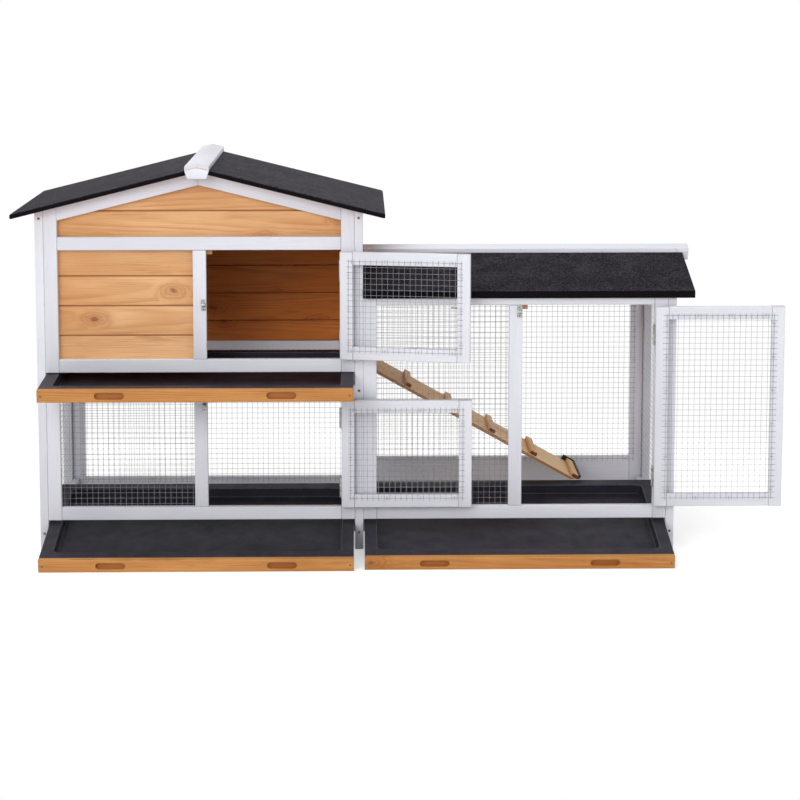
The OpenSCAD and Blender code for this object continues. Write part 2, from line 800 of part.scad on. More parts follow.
// A knuckle with the leaf that runs from it into the gap
module hinge_leaf(side, bands) {
    bore_r = hinge_pin_r + pin_fit;
    x0 = side > 0 ? hinge_gap / 2 - seat / 2 - leaf_t : -hinge_gap / 2 + seat / 2;
    difference() {
        union() {
            for (band = bands) {
                translate([0, 0, band[0]]) cylinder(r = knuckle_r, h = band[1] - band[0]);
                translate([x0, 0, band[0]]) cube([leaf_t, -hinge_y + 1, band[1] - band[0]]);
            }
            translate([x0, -hinge_y + seat, 0]) cube([leaf_t, leaf_d, hinge_h]);
        }
        translate([0, 0, -1]) cylinder(r = bore_r, h = hinge_h + 2);
    }
}

// Heights of the knuckles: two on the frame, one between them on the door
band_cut = 0.3 * hinge_h;
frame_bands = [[0, band_cut], [hinge_h - band_cut, hinge_h]];
door_bands = [[band_cut + slide_gap, hinge_h - band_cut - slide_gap]];

// Places the two hinges of an opening
module at_hinges(op, inset) {
    for (z = [op[2] + inset, op[3] - inset])
        translate([hinge_x(op), hinge_y, z - hinge_h / 2]) children();
}

module hinge_frame_leaves() {
    color("#8f9092") in_frame() {
        at_hinges(upper_opening, house_hinge_inset) hinge_leaf(1, frame_bands);
        at_hinges(lower_opening, house_hinge_inset) hinge_leaf(1, frame_bands);
        at_hinges(run_opening, run_hinge_inset) hinge_leaf(1, frame_bands);
    }
}

module hinge_pins() {
    color("#b0b1b3") in_frame() {
        at_hinges(upper_opening, house_hinge_inset) cylinder(r = hinge_pin_r, h = hinge_h);
        at_hinges(lower_opening, house_hinge_inset) cylinder(r = hinge_pin_r, h = hinge_h);
        at_hinges(run_opening, run_hinge_inset) cylinder(r = hinge_pin_r, h = hinge_h);
    }
}

// Turns a door and what is on it about its hinges, from closed
module swung(op, angle) {
    axis = [hinge_x(op), hinge_y, 0];
    translate(axis) rotate([0, 0, angle]) translate(-axis) children();
}

module door_sticks(op) {
    x0 = door_x0(op);
    x1 = door_x1(op);
    z0 = op[2] + door_gap;
    z1 = op[3] - door_gap;
    w = door_stick_w;
    for (x = [x0, x1 - w])
        stick_z([x, 0, z0], [x + w, door_t, z1]);
    for (z = [z0, z1 - w])
        stick_x([x0 + w + seat, 0, z], [x1 - w - seat, door_t, z + w]);
}

// The net lies on the door's inner face, which shows when the door stands open
module door_net(op) {
    w = door_stick_w;
    net_across([door_x0(op) + w, op[2] + door_gap + w], [door_x1(op) - w, op[3] - door_gap - w],
        door_t + seat);
}

module door_leaves(op, inset) {
    at_hinges(op, inset) hinge_leaf(-1, door_bands);
}

// A solid of radius r round the rod's axis with a foot on the face behind it
module saddle(r, l) {
    rotate([0, 90, 0]) cylinder(r = r, h = l);
    translate([0, 0, -r]) cube([l, bolt_axis_h - seat, 2 * r]);
}

// Plate with two loops that guide a bolt's rod
module bolt_plate(op, z) {
    translate([door_x0(op) + 1, -bolt_axis_h, z]) difference() {
        union() {
            translate([0, bolt_axis_h - seat - bolt_plate_t, -bolt_plate_h / 2])
                cube([bolt_plate_l, bolt_plate_t, bolt_plate_h]);
            for (x = [0, bolt_plate_l - bolt_loop_l])
                translate([x, 0, 0]) saddle(bolt_loop_r, bolt_loop_l);
        }
        translate([-1, 0, 0]) rotate([0, 90, 0]) cylinder(r = bolt_r + slide_gap, h = bolt_plate_l + 2);
    }
}

// The rod and its knob, drawn back clear of the keeper
module bolt_rod(op, z) {
    translate([door_x0(op) + 1, -bolt_axis_h, z]) {
        rotate([0, 90, 0]) cylinder(r = bolt_r, h = bolt_rod_l);
        translate([bolt_knob_x, 0, 0]) rotate([90, 0, 0]) cylinder(r = bolt_knob_r, h = 9);
    }
}

// Staple on the frame that takes the rod's end
module keeper(op, z) {
    x0 = op[0] - keeper_w - seat;
    translate([x0, -bolt_axis_h, z]) difference() {
        union() {
            translate([0, bolt_axis_h - seat - bolt_plate_t, -bolt_plate_h / 2])
                cube([keeper_w, bolt_plate_t, bolt_plate_h]);
            translate([2, 0, 0]) saddle(keeper_out_r, keeper_w - 4);
        }
        translate([-1, 0, 0]) rotate([0, 90, 0]) cylinder(r = keeper_in_r, h = keeper_w + 2);
        translate([-1, 0, -keeper_in_r]) cube([keeper_w + 2, bolt_axis_h + 1, 2 * keeper_in_r]);
    }
}

module bolt_keepers() {
    color("#9c9d9a") in_frame() {
        keeper(upper_opening, upper_bolt_z);
        keeper(lower_opening, lower_bolt_z);
        keeper(run_opening, run_bolt_z);
    }
}

// Places of the three doors, swung open
module at_upper_door() {
    in_frame() swung(upper_opening, upper_door_angle) children();
}

module at_lower_door() {
    in_frame() swung(lower_opening, folded_door_angle) children();
}

module at_run_door() {
    in_frame() swung(run_opening, folded_door_angle) children();
}

module upper_door_frame() {
    color("#e9ebf2") at_upper_door() door_sticks(upper_opening);
}

module upper_door_net() {
    color("#a9abad") at_upper_door() door_net(upper_opening);
}

module upper_door_hinge_leaves() {
    color("#8f9092") at_upper_door() door_leaves(upper_opening, house_hinge_inset);
}

module upper_door_bolt_plate() {
    color("#9c9d9a") at_upper_door() bolt_plate(upper_opening, upper_bolt_z);
}

module upper_door_bolt() {
    color("#b0b1b3") at_upper_door() bolt_rod(upper_opening, upper_bolt_z);
}

module lower_door_frame() {
    color("#e9ebf2") at_lower_door() door_sticks(lower_opening);
}

module lower_door_net() {
    color("#a9abad") at_lower_door() door_net(lower_opening);
}

module lower_door_hinge_leaves() {
    color("#8f9092") at_lower_door() door_leaves(lower_opening, house_hinge_inset);
}

module lower_door_bolt_plate() {
    color("#9c9d9a") at_lower_door() bolt_plate(lower_opening, lower_bolt_z);
}

module lower_door_bolt() {
    color("#b0b1b3") at_lower_door() bolt_rod(lower_opening, lower_bolt_z);
}

module run_door_frame() {
    color("#e9ebf2") at_run_door() door_sticks(run_opening);
}

module run_door_net() {
    color("#a9abad") at_run_door() door_net(run_opening);
}

module run_door_hinge_leaves() {
    color("#8f9092") at_run_door() door_leaves(run_opening, run_hinge_inset);
}

module run_door_bolt_plate() {
    color("#9c9d9a") at_run_door() bolt_plate(run_opening, run_bolt_z);
}

module run_door_bolt() {
    color("#b0b1b3") at_run_door() bolt_rod(run_opening, run_bolt_z);
}

// A rectangle with round corners, from its middle
module round_rect(w, h, r) {
    square([w - 2 * r, h], center = true);
    square([w, h - 2 * r], center = true);
    for (x = [-1, 1], y = [-1, 1])
        translate([x * (w / 2 - r), y * (h / 2 - r)]) circle(r = r);
}

// Puts a tray drawn level on its pivot line at its place, drawn out and tipped
module drawn_out(x0, pivot_z, out, tip) {
    translate([x0 + tray_side_gap, pivot_y, pivot_z]) rotate([tip, 0, 0])
        translate([0, -pivot_y - out, 0]) children();
}

module at_upper_tray() {
    in_frame() drawn_out(wall_t, upper_pivot_z, upper_tray_out, upper_tray_tip) children();
}

module at_lower_tray() {
    in_frame() drawn_out(wall_t, lower_pivot_z, lower_tray_out, lower_tray_tip) children();
}

module at_run_tray() {
    in_frame() drawn_out(run_x0, lower_pivot_z, run_tray_out, run_tray_tip) children();
}

// Pressed sheet: a flat rim on the runners round a sunk floor
module tray_pan(w) {
    y0 = tray_front_t + seat;
    l = tray_l - y0;
    hollow_w = w - 2 * tray_rim_w;
    hollow_l = l - 2 * tray_rim_w;
    t = tray_sheet_t;
    translate([w / 2, y0 + l / 2, 0]) difference() {
        union() {
            translate([0, 0, rim_under]) linear_extrude(t) square([w, l], center = true);
            translate([0, 0, rim_top - tray_depth - t]) linear_extrude(tray_depth + t / 2)
                round_rect(hollow_w + 2 * t, hollow_l + 2 * t, tray_corner_r + t);
        }
        translate([0, 0, rim_top - tray_depth]) linear_extrude(tray_depth + 1)
            round_rect(hollow_w, hollow_l, tray_corner_r);
    }
}

// Wooden front with two blind finger grooves
module tray_front(w) {
    difference() {
        stick_x([0, 0, front_low], [w, tray_front_t, rim_top]);
        for (side = [-1, 1])
            translate([w / 2 + side * groove_spread, groove_d, (front_low + rim_top) / 2]) rotate([90, 0, 0])
                linear_extrude(groove_d + 1) {
                    square([groove_l - groove_h, groove_h], center = true);
                    for (end = [-1, 1])
                        translate([end * (groove_l - groove_h) / 2, 0]) circle(d = groove_h);
                }
    }
}

// The screw in each runner's nose, which the tray turns about as it tips
module pivot_screws(left, right, pivot_z) {
    head_r = 4;
    head_t = 2.6;
    translate([left, pivot_y, pivot_z]) rotate([0, 90, 0]) {
        translate([0, 0, slide_gap]) cylinder(r = pivot_screw_r, h = runner_w);
        translate([0, 0, runner_w + slide_gap]) cylinder(r1 = head_r, r2 = head_r - 1, h = head_t);
    }
    translate([right, pivot_y, pivot_z]) rotate([0, -90, 0]) {
        translate([0, 0, slide_gap]) cylinder(r = pivot_screw_r, h = runner_w);
        translate([0, 0, runner_w + slide_gap]) cylinder(r1 = head_r, r2 = head_r - 1, h = head_t);
    }
}

module upper_tray_pan() {
    color("#3b3c41") at_upper_tray() tray_pan(house_tray_w);
}

module upper_tray_front() {
    color("#d79b5f") at_upper_tray() tray_front(house_tray_w);
}

module upper_tray_pivot_screws() {
    color("#8f9092") in_frame() pivot_screws(wall_t + seat, house_w - wall_t - seat, upper_pivot_z);
}

module lower_tray_pan() {
    color("#3b3c41") at_lower_tray() tray_pan(house_tray_w);
}

module lower_tray_front() {
    color("#d79b5f") at_lower_tray() tray_front(house_tray_w);
}

module lower_tray_pivot_screws() {
    color("#8f9092") in_frame()
        pivot_screws(wall_t + net_t + 2 * seat, house_w - wall_t - seat, lower_pivot_z);
}

module run_tray_pan() {
    color("#3b3c41") at_run_tray() tray_pan(run_tray_w);
}

module run_tray_front() {
    color("#d79b5f") at_run_tray() tray_front(run_tray_w);
}

module run_tray_pivot_screws() {
    color("#8f9092") in_frame()
        pivot_screws(run_x0 + seat, run_x1 - net_t - 2 * seat, lower_pivot_z);
}

house_left_wall_frame();
house_right_wall_frame();
house_front_lower_frame();
house_front_upper_frame();
house_rear_lower_frame();
house_rear_upper_frame();
front_panel_boards();
front_gable_boards();
rear_wall_boards();
left_wall_boards();
right_wall_boards();
house_front_net();
house_left_net();
house_rear_net();
run_front_frame();
run_rear_frame();
run_right_wall_frame();
run_front_net();
run_rear_net();
run_right_net();
main_roof_left();
main_roof_right();
main_ridge_cap();
run_roof_front();
run_roof_rear();
run_ridge_cap();
ridge_end_blocks();
ramp_board();
ramp_cleats();
ramp_foot_bracket();
door_stop_blocks();
house_tray_runners();
run_tray_runners();
hinge_frame_leaves();
hinge_pins();
bolt_keepers();
upper_door_frame();
upper_door_net();
upper_door_hinge_leaves();
upper_door_bolt_plate();
upper_door_bolt();
lower_door_frame();
lower_door_net();
lower_door_hinge_leaves();
lower_door_bolt_plate();
lower_door_bolt();
run_door_frame();
run_door_net();
run_door_hinge_leaves();
run_door_bolt_plate();
run_door_bolt();
upper_tray_pan();
upper_tray_front();
upper_tray_pivot_screws();
lower_tray_pan();
lower_tray_front();
lower_tray_pivot_screws();
run_tray_pan();
run_tray_front();
run_tray_pivot_screws();
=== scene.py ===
"""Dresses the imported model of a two-storey rabbit cage: timber, nets, felt roofs, trays and metalwork.

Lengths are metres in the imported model's frame. Sizes written with MM are millimetres of the real cage.
"""
import json
import logging
import math
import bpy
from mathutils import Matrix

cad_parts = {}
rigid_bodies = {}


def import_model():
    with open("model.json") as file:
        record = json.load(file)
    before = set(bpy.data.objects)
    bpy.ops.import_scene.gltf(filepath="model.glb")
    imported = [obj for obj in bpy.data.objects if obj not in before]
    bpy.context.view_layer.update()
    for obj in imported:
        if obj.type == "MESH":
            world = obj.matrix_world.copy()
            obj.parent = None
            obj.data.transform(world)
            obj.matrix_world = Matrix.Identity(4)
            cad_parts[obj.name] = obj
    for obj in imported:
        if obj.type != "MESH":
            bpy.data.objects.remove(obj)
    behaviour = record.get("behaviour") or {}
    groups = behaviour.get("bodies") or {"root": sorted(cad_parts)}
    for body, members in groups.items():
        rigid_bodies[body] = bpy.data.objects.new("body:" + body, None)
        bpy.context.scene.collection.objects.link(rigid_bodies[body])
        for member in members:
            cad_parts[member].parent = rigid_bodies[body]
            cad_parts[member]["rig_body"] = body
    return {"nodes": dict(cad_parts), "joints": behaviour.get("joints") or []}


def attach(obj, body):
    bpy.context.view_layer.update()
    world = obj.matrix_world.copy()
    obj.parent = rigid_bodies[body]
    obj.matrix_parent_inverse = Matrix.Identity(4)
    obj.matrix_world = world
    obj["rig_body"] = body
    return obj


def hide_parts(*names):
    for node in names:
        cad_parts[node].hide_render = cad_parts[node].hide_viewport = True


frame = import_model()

import zlib
from dataclasses import dataclass, replace
from enum import Enum

import bmesh
import bpy
import numpy as np

log = logging.getLogger("rabbit_cage")
MM = 0.001
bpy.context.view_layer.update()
LEVELS = ("upper", "lower", "run")
Array = np.ndarray
Socket = bpy.types.NodeSocket
Shape = tuple[np.ndarray, list[np.ndarray]]
Triple = tuple[float, float, float]
Colour = tuple[float, float, float, float]


class Way(Enum):
    """Direction in which the grain of a timber piece runs where its own shape doesn't tell."""

    OWN = None
    ACROSS = (1.0, 0.0, 0.0)
    DEEP = (0.0, 1.0, 0.0)
    UP = (0.0, 0.0, 1.0)


def srgb(red: float, green: float, blue: float) -> Colour:
    """Scene-linear colour of three screen values from 0 to 255, with an alpha of 1."""
    screen = np.array([red, green, blue]) / 255.0
    linear = np.where(screen <= 0.04045, screen / 12.92, ((screen + 0.055) / 1.055) ** 2.4)
    return (*linear.tolist(), 1.0)


def seeded(name: str) -> np.random.Generator:
    """Number source that is the same on each run for a piece of that name."""
    return np.random.default_rng(zlib.crc32(name.encode()))


# ---- Shader wiring ----


class Wiring:
    """Places nodes in one node tree and joins their sockets."""

    def __init__(self, tree: bpy.types.NodeTree) -> None:
        """Works on that tree."""
        self.tree = tree

    def node(self, kind: str, values: dict | None = None, **settings: object) -> bpy.types.Node:
        """Adds a node.

        Args:
            kind: type name of the node.
            values: sockets or plain values for its inputs, by name or number.
            settings: properties to set on it.

        Returns:
            The new node.
        """
        made = self.tree.nodes.new(kind)
        for key, value in settings.items():
            setattr(made, key, value)
        for key, value in (values or {}).items():
            self.feed(made.inputs[key], value)
        return made

    def feed(self, socket: Socket, value: object) -> None:
        """Joins a socket to another one, or sets its own value."""
        if isinstance(value, bpy.types.NodeSocket):
            self.tree.links.new(value, socket)
        elif value is not None:
            socket.default_value = value

    def give(self, out: dict[str, Socket], **values: object) -> bpy.types.NodeTree:
        """Feeds a group's outputs by name, and hands its tree on."""
        for key, value in values.items():
            self.feed(out[key], value)
        return self.tree

    def math(self, operation: str, a: object, b: object = None) -> Socket:
        """Result of a Math node on one or two values."""
        return self.node("ShaderNodeMath", {0: a, 1: b}, operation=operation).outputs[0]

    def plus(self, a: object, b: object) -> Socket:
        """Sum of two values."""
        return self.math("ADD", a, b)

    def minus(self, a: object, b: object) -> Socket:
        """First value less the second."""
        return self.math("SUBTRACT", a, b)

    def times(self, a: object, b: object) -> Socket:
        """Product of two values."""
        return self.math("MULTIPLY", a, b)

    def size(self, a: object) -> Socket:
        """Value without its sign."""
        return self.math("ABSOLUTE", a)

    def vector(self, operation: str, a: object, b: object) -> Socket:
        """Result of a Vector Math node: a value for DOT_PRODUCT, else a vector."""
        made = self.node("ShaderNodeVectorMath", {0: a, 1: b}, operation=operation)
        return made.outputs["Value" if operation == "DOT_PRODUCT" else "Vector"]

    def step(self, value: object, low: float, high: float, start: float = 0.0, end: float = 1.0) -> Socket:
        """Smooth step of a value.

        Args:
            value: what is stepped.
            low: value at which the step starts.
            high: value at which it ends.
            start: result below low.
            end: result above high.

        Returns:
            The stepped value's socket.
        """
        given = dict(enumerate((value, low, high, start, end)))
        return self.node("ShaderNodeMapRange", given, interpolation_type="SMOOTHSTEP").outputs[0]

    def noise(self, place: object, scale: float, detail: float = 2.0, rough: float = 0.5) -> Socket:
        """Noise value at a place.

        Args:
            place: vector socket.
            scale: blotches to a metre.
            detail: octaves.
            rough: strength of the finer octaves.

        Returns:
            The noise value's socket, about 0.5 on average.
        """
        given = {"Vector": place, "Scale": scale, "Detail": detail, "Roughness": rough}
        return self.node("ShaderNodeTexNoise", given).outputs["Fac"]

    def blend(self, share: object, under: object, over: object, kind: str = "MIX") -> Socket:
        """Colour between two colours, at the second one, or their product, where the share is 1."""
        given = {0: share, 6: under, 7: over}
        return self.node("ShaderNodeMix", given, data_type="RGBA", blend_type=kind).outputs[2]

    def cover(self, colour: object, *layers: tuple[object, float, Colour]) -> Socket:
        """Lays colours over a colour.

        Args:
            colour: what lies under them.
            layers: each one's mask, strength and colour.

        Returns:
            The covered colour.
        """
        for mask, strength, over in layers:
            colour = self.blend(self.times(mask, strength), colour, over)
        return colour

    def split(self, vector: Socket) -> tuple[Socket, Socket, Socket]:
        """The three parts of a vector."""
        return tuple(self.node("ShaderNodeSeparateXYZ", {0: vector}).outputs)

    def own(self, name: str) -> Socket:
        """A mesh attribute, as a vector."""
        return self.node("ShaderNodeAttribute", attribute_name=name).outputs["Vector"]

    def placed(self) -> Socket:
        """Object coordinates."""
        return self.node("ShaderNodeTexCoord").outputs["Object"]

    def facing(self) -> Socket:
        """Normal in the object's own directions."""
        return self.node("ShaderNodeTexCoord").outputs["Normal"]

    def seen(self) -> Socket:
        """Value that is 1 for what the camera sees, also in a gloss or through glass."""
        path = self.node("ShaderNodeLightPath").outputs
        direct = self.plus(path["Is Camera Ray"], path["Is Glossy Ray"])
        return self.math("MINIMUM", self.plus(direct, path["Is Transmission Ray"]), 1.0)

    def group(self, tree: bpy.types.NodeTree, **values: object) -> bpy.types.Node:
        """Places a node group and feeds its inputs."""
        return self.node("ShaderNodeGroup", values, node_tree=tree)

    def bump(self, height: Socket, depth: float, strength: float) -> Socket:
        """Normal raised by a height of 0 to 1 over a depth in metres."""
        given = {"Strength": strength, "Distance": depth, "Height": height}
        return self.node("ShaderNodeBump", given).outputs["Normal"]


def new_group(name: str, inputs: str, outputs: str) -> tuple[Wiring, dict, dict]:
    """Starts a shader node group.

    Args:
        name: the group's name.
        inputs: names of its sockets, of which Grain and Place are vectors and the others values.
        outputs: the same for what it puts out.

    Returns:
        Wiring on the group's tree, its inputs by name, and the sockets that its outputs are fed through.
    """
    tree = bpy.data.node_groups.new(name, "ShaderNodeTree")
    for side, names in (("INPUT", inputs), ("OUTPUT", outputs)):
        for key in names.split():
            kind = "Vector" if key in ("Grain", "Place") else "Float"
            tree.interface.new_socket(key, in_out=side, socket_type=f"NodeSocket{kind}")
    wiring = Wiring(tree)
    source, sink = wiring.node("NodeGroupInput"), wiring.node("NodeGroupOutput")
    return wiring, {s.name: s for s in source.outputs}, {s.name: s for s in sink.inputs}


class Effects:
    """The node groups that several finishes share, each built once."""

    def __init__(self) -> None:
        """Builds every group."""
        self.reading = self._timber_reading()
        self.figure = self._wood_figure()
        self.wear = self._worn_edges()
        self.dust = self._dust()

    @staticmethod
    def _timber_reading() -> bpy.types.NodeTree:
        """What a timber piece's attributes say of a point.

        End is the share of the normal along the grain, stepped, and Flank the share across it. Edge is 1 where
        the normal leaves all three of the stick's own directions, as on a chamfer. Joint is 1 within about a
        millimetre of a stick's end. Sunk is 1 on the floor of a recess and fades out up its walls.
        """
        w, _, out = new_group("timber_reading", "", "Grain End Flank Edge Joint Tone Sunk")
        normal, axis, side = w.facing(), w.own("axis"), w.own("side")
        ways = (axis, side, w.vector("CROSS_PRODUCT", axis, side))
        along, through, across = (w.size(w.vector("DOT_PRODUCT", normal, way)) for way in ways)
        most = w.math("MAXIMUM", w.math("MAXIMUM", along, through), across)
        end = w.step(along, 0.75, 0.92)
        u, half, tone = w.split(w.own("span"))
        near_end = w.step(w.minus(half, w.size(u)), 0.5 * MM, 1.7 * MM, 1.0, 0.0)
        return w.give(out, Grain=w.own("grain"), End=end, Flank=w.step(across, 0.75, 0.92),
                      Edge=w.step(most, 0.93, 0.995, 1.0, 0.0), Joint=w.times(near_end, w.minus(1.0, end)),
                      Tone=tone, Sunk=w.split(w.own("sunk"))[0])

    @staticmethod
    def _wood_figure() -> bpy.types.NodeTree:
        """Growth rings, fibres, knots and blotches of softwood at a point given along, across and through.

        The rings are the remainder of the distance to a pith line behind the board, which leans and wanders.
        A knot is the middle of a stretched random cell, and round it the rings are those of the distance to it.
        """
        w, given, out = new_group("wood_figure", "Grain Spacing Knots", "Rings Fibre Knot Halo Blotch Drift")
        grain = given["Grain"]

        def noise(along: float, across: float, through: float, *detail: float) -> Socket:
            """Noise with so many blotches to a metre in each direction of the stick."""
            return w.noise(w.vector("MULTIPLY", grain, (along, across, through)), 1.0, *detail)

        cells = w.vector("MULTIPLY", grain, (4.6, 9.0, 0.0))
        cell = w.node("ShaderNodeTexVoronoi", {"Vector": cells, "Scale": 1.0},
                      voronoi_dimensions="2D", feature="F1").outputs
        ragged = w.times(w.minus(noise(26.0, 60.0, 1.0, 2.0, 0.6), 0.5), 0.13)
        far = w.math("MAXIMUM", w.plus(cell["Distance"], ragged), 0.0)
        pick = w.node("ShaderNodeSeparateColor", {0: cell["Color"]}).outputs[0]
        keep = w.math("LESS_THAN", pick, given["Knots"])
        core = w.times(w.step(far, 0.018, 0.056, 1.0, 0.0), keep)
        halo = w.times(w.step(far, 0.03, 0.26, 1.0, 0.0), keep)
        u, v, t = w.split(grain)
        lean, pith_depth = w.times(u, 0.014), 34.0 * MM
        wander = w.times(w.minus(noise(3.2, 15.0, 15.0), 0.5), 0.016)
        deep, off = w.plus(w.plus(t, pith_depth), lean), w.plus(v, wander)
        radius = w.math("SQRT", w.plus(w.times(off, off), w.times(deep, deep)))
        radius = w.plus(radius, w.times(halo, 7.0 * MM))
        turn = w.math("FRACT", w.math("DIVIDE", radius, given["Spacing"]))
        late = w.times(w.step(turn, 0.25, 0.85), w.step(turn, 0.86, 1.0, 1.0, 0.0))
        late = w.times(late, w.step(noise(5.0, 55.0, 55.0), 0.3, 0.7, 0.25, 1.0))
        whirl = w.math("FRACT", w.times(w.math("SQRT", far), 13.0))
        whirl = w.times(w.step(whirl, 0.25, 0.9), w.step(halo, 0.12, 0.6))
        return w.give(out, Rings=w.math("MAXIMUM", late, whirl), Fibre=noise(11.0, 620.0, 620.0, 3.0, 0.6),
                      Knot=core, Halo=halo, Blotch=noise(2.6, 10.0, 10.0, 3.0, 0.55),
                      Drift=noise(5.5, 34.0, 1.0, 3.0, 0.6))

    @staticmethod
    def _worn_edges() -> bpy.types.NodeTree:
        """Mask of the spots where an edge has lost its coat: the edge times a stepped noise."""
        w, given, out = new_group("worn_edges", "Edge Place Amount", "Worn")
        spots = w.noise(given["Place"], 95.0, 3.0, 0.6)
        low = w.minus(0.74, w.times(given["Amount"], 0.3))
        return w.give(out, Worn=w.times(w.math("GREATER_THAN", spots, low), given["Edge"]))

    @staticmethod
    def _dust() -> bpy.types.NodeTree:
        """Mask of settled dust: faces that look up, broken by a soft noise."""
        w, given, out = new_group("settled_dust", "Place Amount", "Dust")
        up = w.step(w.split(w.facing())[2], 0.35, 0.95)
        cloud = w.step(w.noise(given["Place"], 22.0, 4.0, 0.6), 0.38, 0.72)
        return w.give(out, Dust=w.times(w.times(up, cloud), given["Amount"]))


# ---- Finishes ----


@dataclass(frozen=True)
class Finish:
    """A finish that dresses a mesh, with the record's slot that it stands for."""

    name: str
    slot: str

    def material(self, effects: Effects) -> bpy.types.Material:
        """Builds the material.

        Args:
            effects: the shared node groups.

        Returns:
            A material whose Principled shader is fed with the finish's looks.
        """
        material = bpy.data.materials.new(self.name)
        material.use_nodes = True
        w, shader = Wiring(material.node_tree), material.node_tree.nodes["Principled BSDF"]
        for key, value in self.looks(w, effects).items():
            w.feed(shader.inputs[key], value)
        return material

    def looks(self, w: Wiring, effects: Effects) -> dict[str, object]:
        """What each of the shader's inputs is fed; every finish has its own."""
        raise NotImplementedError


@dataclass(frozen=True)
class Pine(Finish):
    """Stained or bare softwood with rings, fibres and knots."""

    pale: Colour = srgb(231, 183, 134)
    mid: Colour = srgb(214, 157, 104)
    late: Colour = srgb(176, 112, 62)
    knot: Colour = srgb(104, 58, 33)
    end: Colour = srgb(150, 98, 60)
    flank: Colour = srgb(150, 84, 34)
    # Painted shade: with groove above 0, chamfer faces, the walls of the V-grooves between boards, take this
    # darker colour.
    groove_shade: Colour = srgb(150, 90, 46)
    # Painted shade: with recess above 0, the floors of recesses, such as the finger grooves of the tray fronts,
    # take this darker colour.
    hollow: Colour = srgb(146, 74, 22)
    # Painted shade: the faces that look along inner, into the cage, are multiplied by this darker, redder colour,
    # which stands in for the shade and warm bounced light inside.
    inner_shade: Colour = (0.76, 0.39, 0.085, 1.0)
    inner: Triple | None = None
    spacing: float = 5.2 * MM
    knots: float = 0.34
    ringed: float = 0.42
    sided: float = 0.0
    worn: float = 0.35
    groove: float = 0.0
    recess: float = 0.0

    def looks(self, w: Wiring, effects: Effects) -> dict[str, object]:
        """Colour from pale early wood to dark late wood along the rings, darkened where it faces inward as
        painted shade inside the cage.
        """
        read = w.group(effects.reading).outputs
        fig = w.group(effects.figure, Grain=read["Grain"], Spacing=self.spacing, Knots=self.knots).outputs
        worn = w.group(effects.wear, Edge=read["Edge"], Place=read["Grain"], Amount=0.7).outputs[0]
        colour = w.cover(
            w.blend(w.step(fig["Blotch"], 0.35, 0.65), self.pale, self.mid),
            (w.step(read["Tone"], 0.0, 1.0), 0.4, self.mid),
            (fig["Rings"], self.ringed, self.late),
            (w.step(fig["Fibre"], 0.5, 0.72), 0.34, self.late),
            (w.step(fig["Drift"], 0.56, 0.74), 0.5, self.late),
            (fig["Halo"], 0.32, self.late),
            (fig["Knot"], 0.6, self.knot),
            (read["Flank"], self.sided, self.flank),
            (read["End"], 0.92, self.end),
            (read["Joint"], 0.55, self.knot),
            (worn, self.worn, self.pale),
            # Painted shade in the V-grooves between boards.
            (read["Edge"], self.groove, self.groove_shade),
            # Painted shade on the floors of recesses.
            (read["Sunk"], self.recess, self.hollow))
        # Painted shade: darken the faces that look into the cage.
        if self.inner:
            inside_shade_mask = w.step(w.vector("DOT_PRODUCT", w.facing(), self.inner), 0.5, 0.8)
            colour = w.blend(inside_shade_mask, colour, self.inner_shade, "MULTIPLY")
        height = w.plus(w.times(fig["Fibre"], 0.6), w.times(fig["Rings"], 0.25))
        return {"Base Color": colour, "Roughness": w.step(fig["Fibre"], 0.3, 0.8, 0.5, 0.68),
                "Normal": w.bump(height, 0.35 * MM, 0.6), "Specular IOR Level": 0.32}


@dataclass(frozen=True)
class Paint(Finish):
    """Thin white paint on softwood, with raised fibres, ghosts of knots and worn arrises."""

    coat: Colour = srgb(225, 225, 232)
    shade: Colour = srgb(205, 205, 215)
    bare: Colour = srgb(190, 170, 158)
    grime: Colour = srgb(146, 143, 150)

    def looks(self, w: Wiring, effects: Effects) -> dict[str, object]:
        """White paint whose streaks follow the stick's grain."""
        read = w.group(effects.reading).outputs
        fig = w.group(effects.figure, Grain=read["Grain"], Spacing=4.6 * MM, Knots=0.3).outputs
        worn = w.group(effects.wear, Edge=read["Edge"], Place=read["Grain"], Amount=0.34).outputs[0]
        colour = w.cover(
            self.coat,
            (w.step(fig["Blotch"], 0.4, 0.75), 0.5, self.shade),
            (w.step(fig["Fibre"], 0.52, 0.75), 0.5, self.shade),
            (fig["Rings"], 0.14, self.shade),
            (fig["Knot"], 0.16, self.bare),
            (read["Tone"], 0.16, self.shade),
            (worn, 0.4, self.bare),
            (read["End"], 0.22, self.bare),
            (read["Joint"], 0.6, self.grime))
        height = w.plus(w.times(fig["Fibre"], 0.55), w.times(fig["Rings"], 0.2))
        return {"Base Color": colour, "Roughness": w.step(fig["Fibre"], 0.3, 0.8, 0.42, 0.6),
                "Normal": w.bump(height, 0.22 * MM, 0.5), "Specular IOR Level": 0.35}


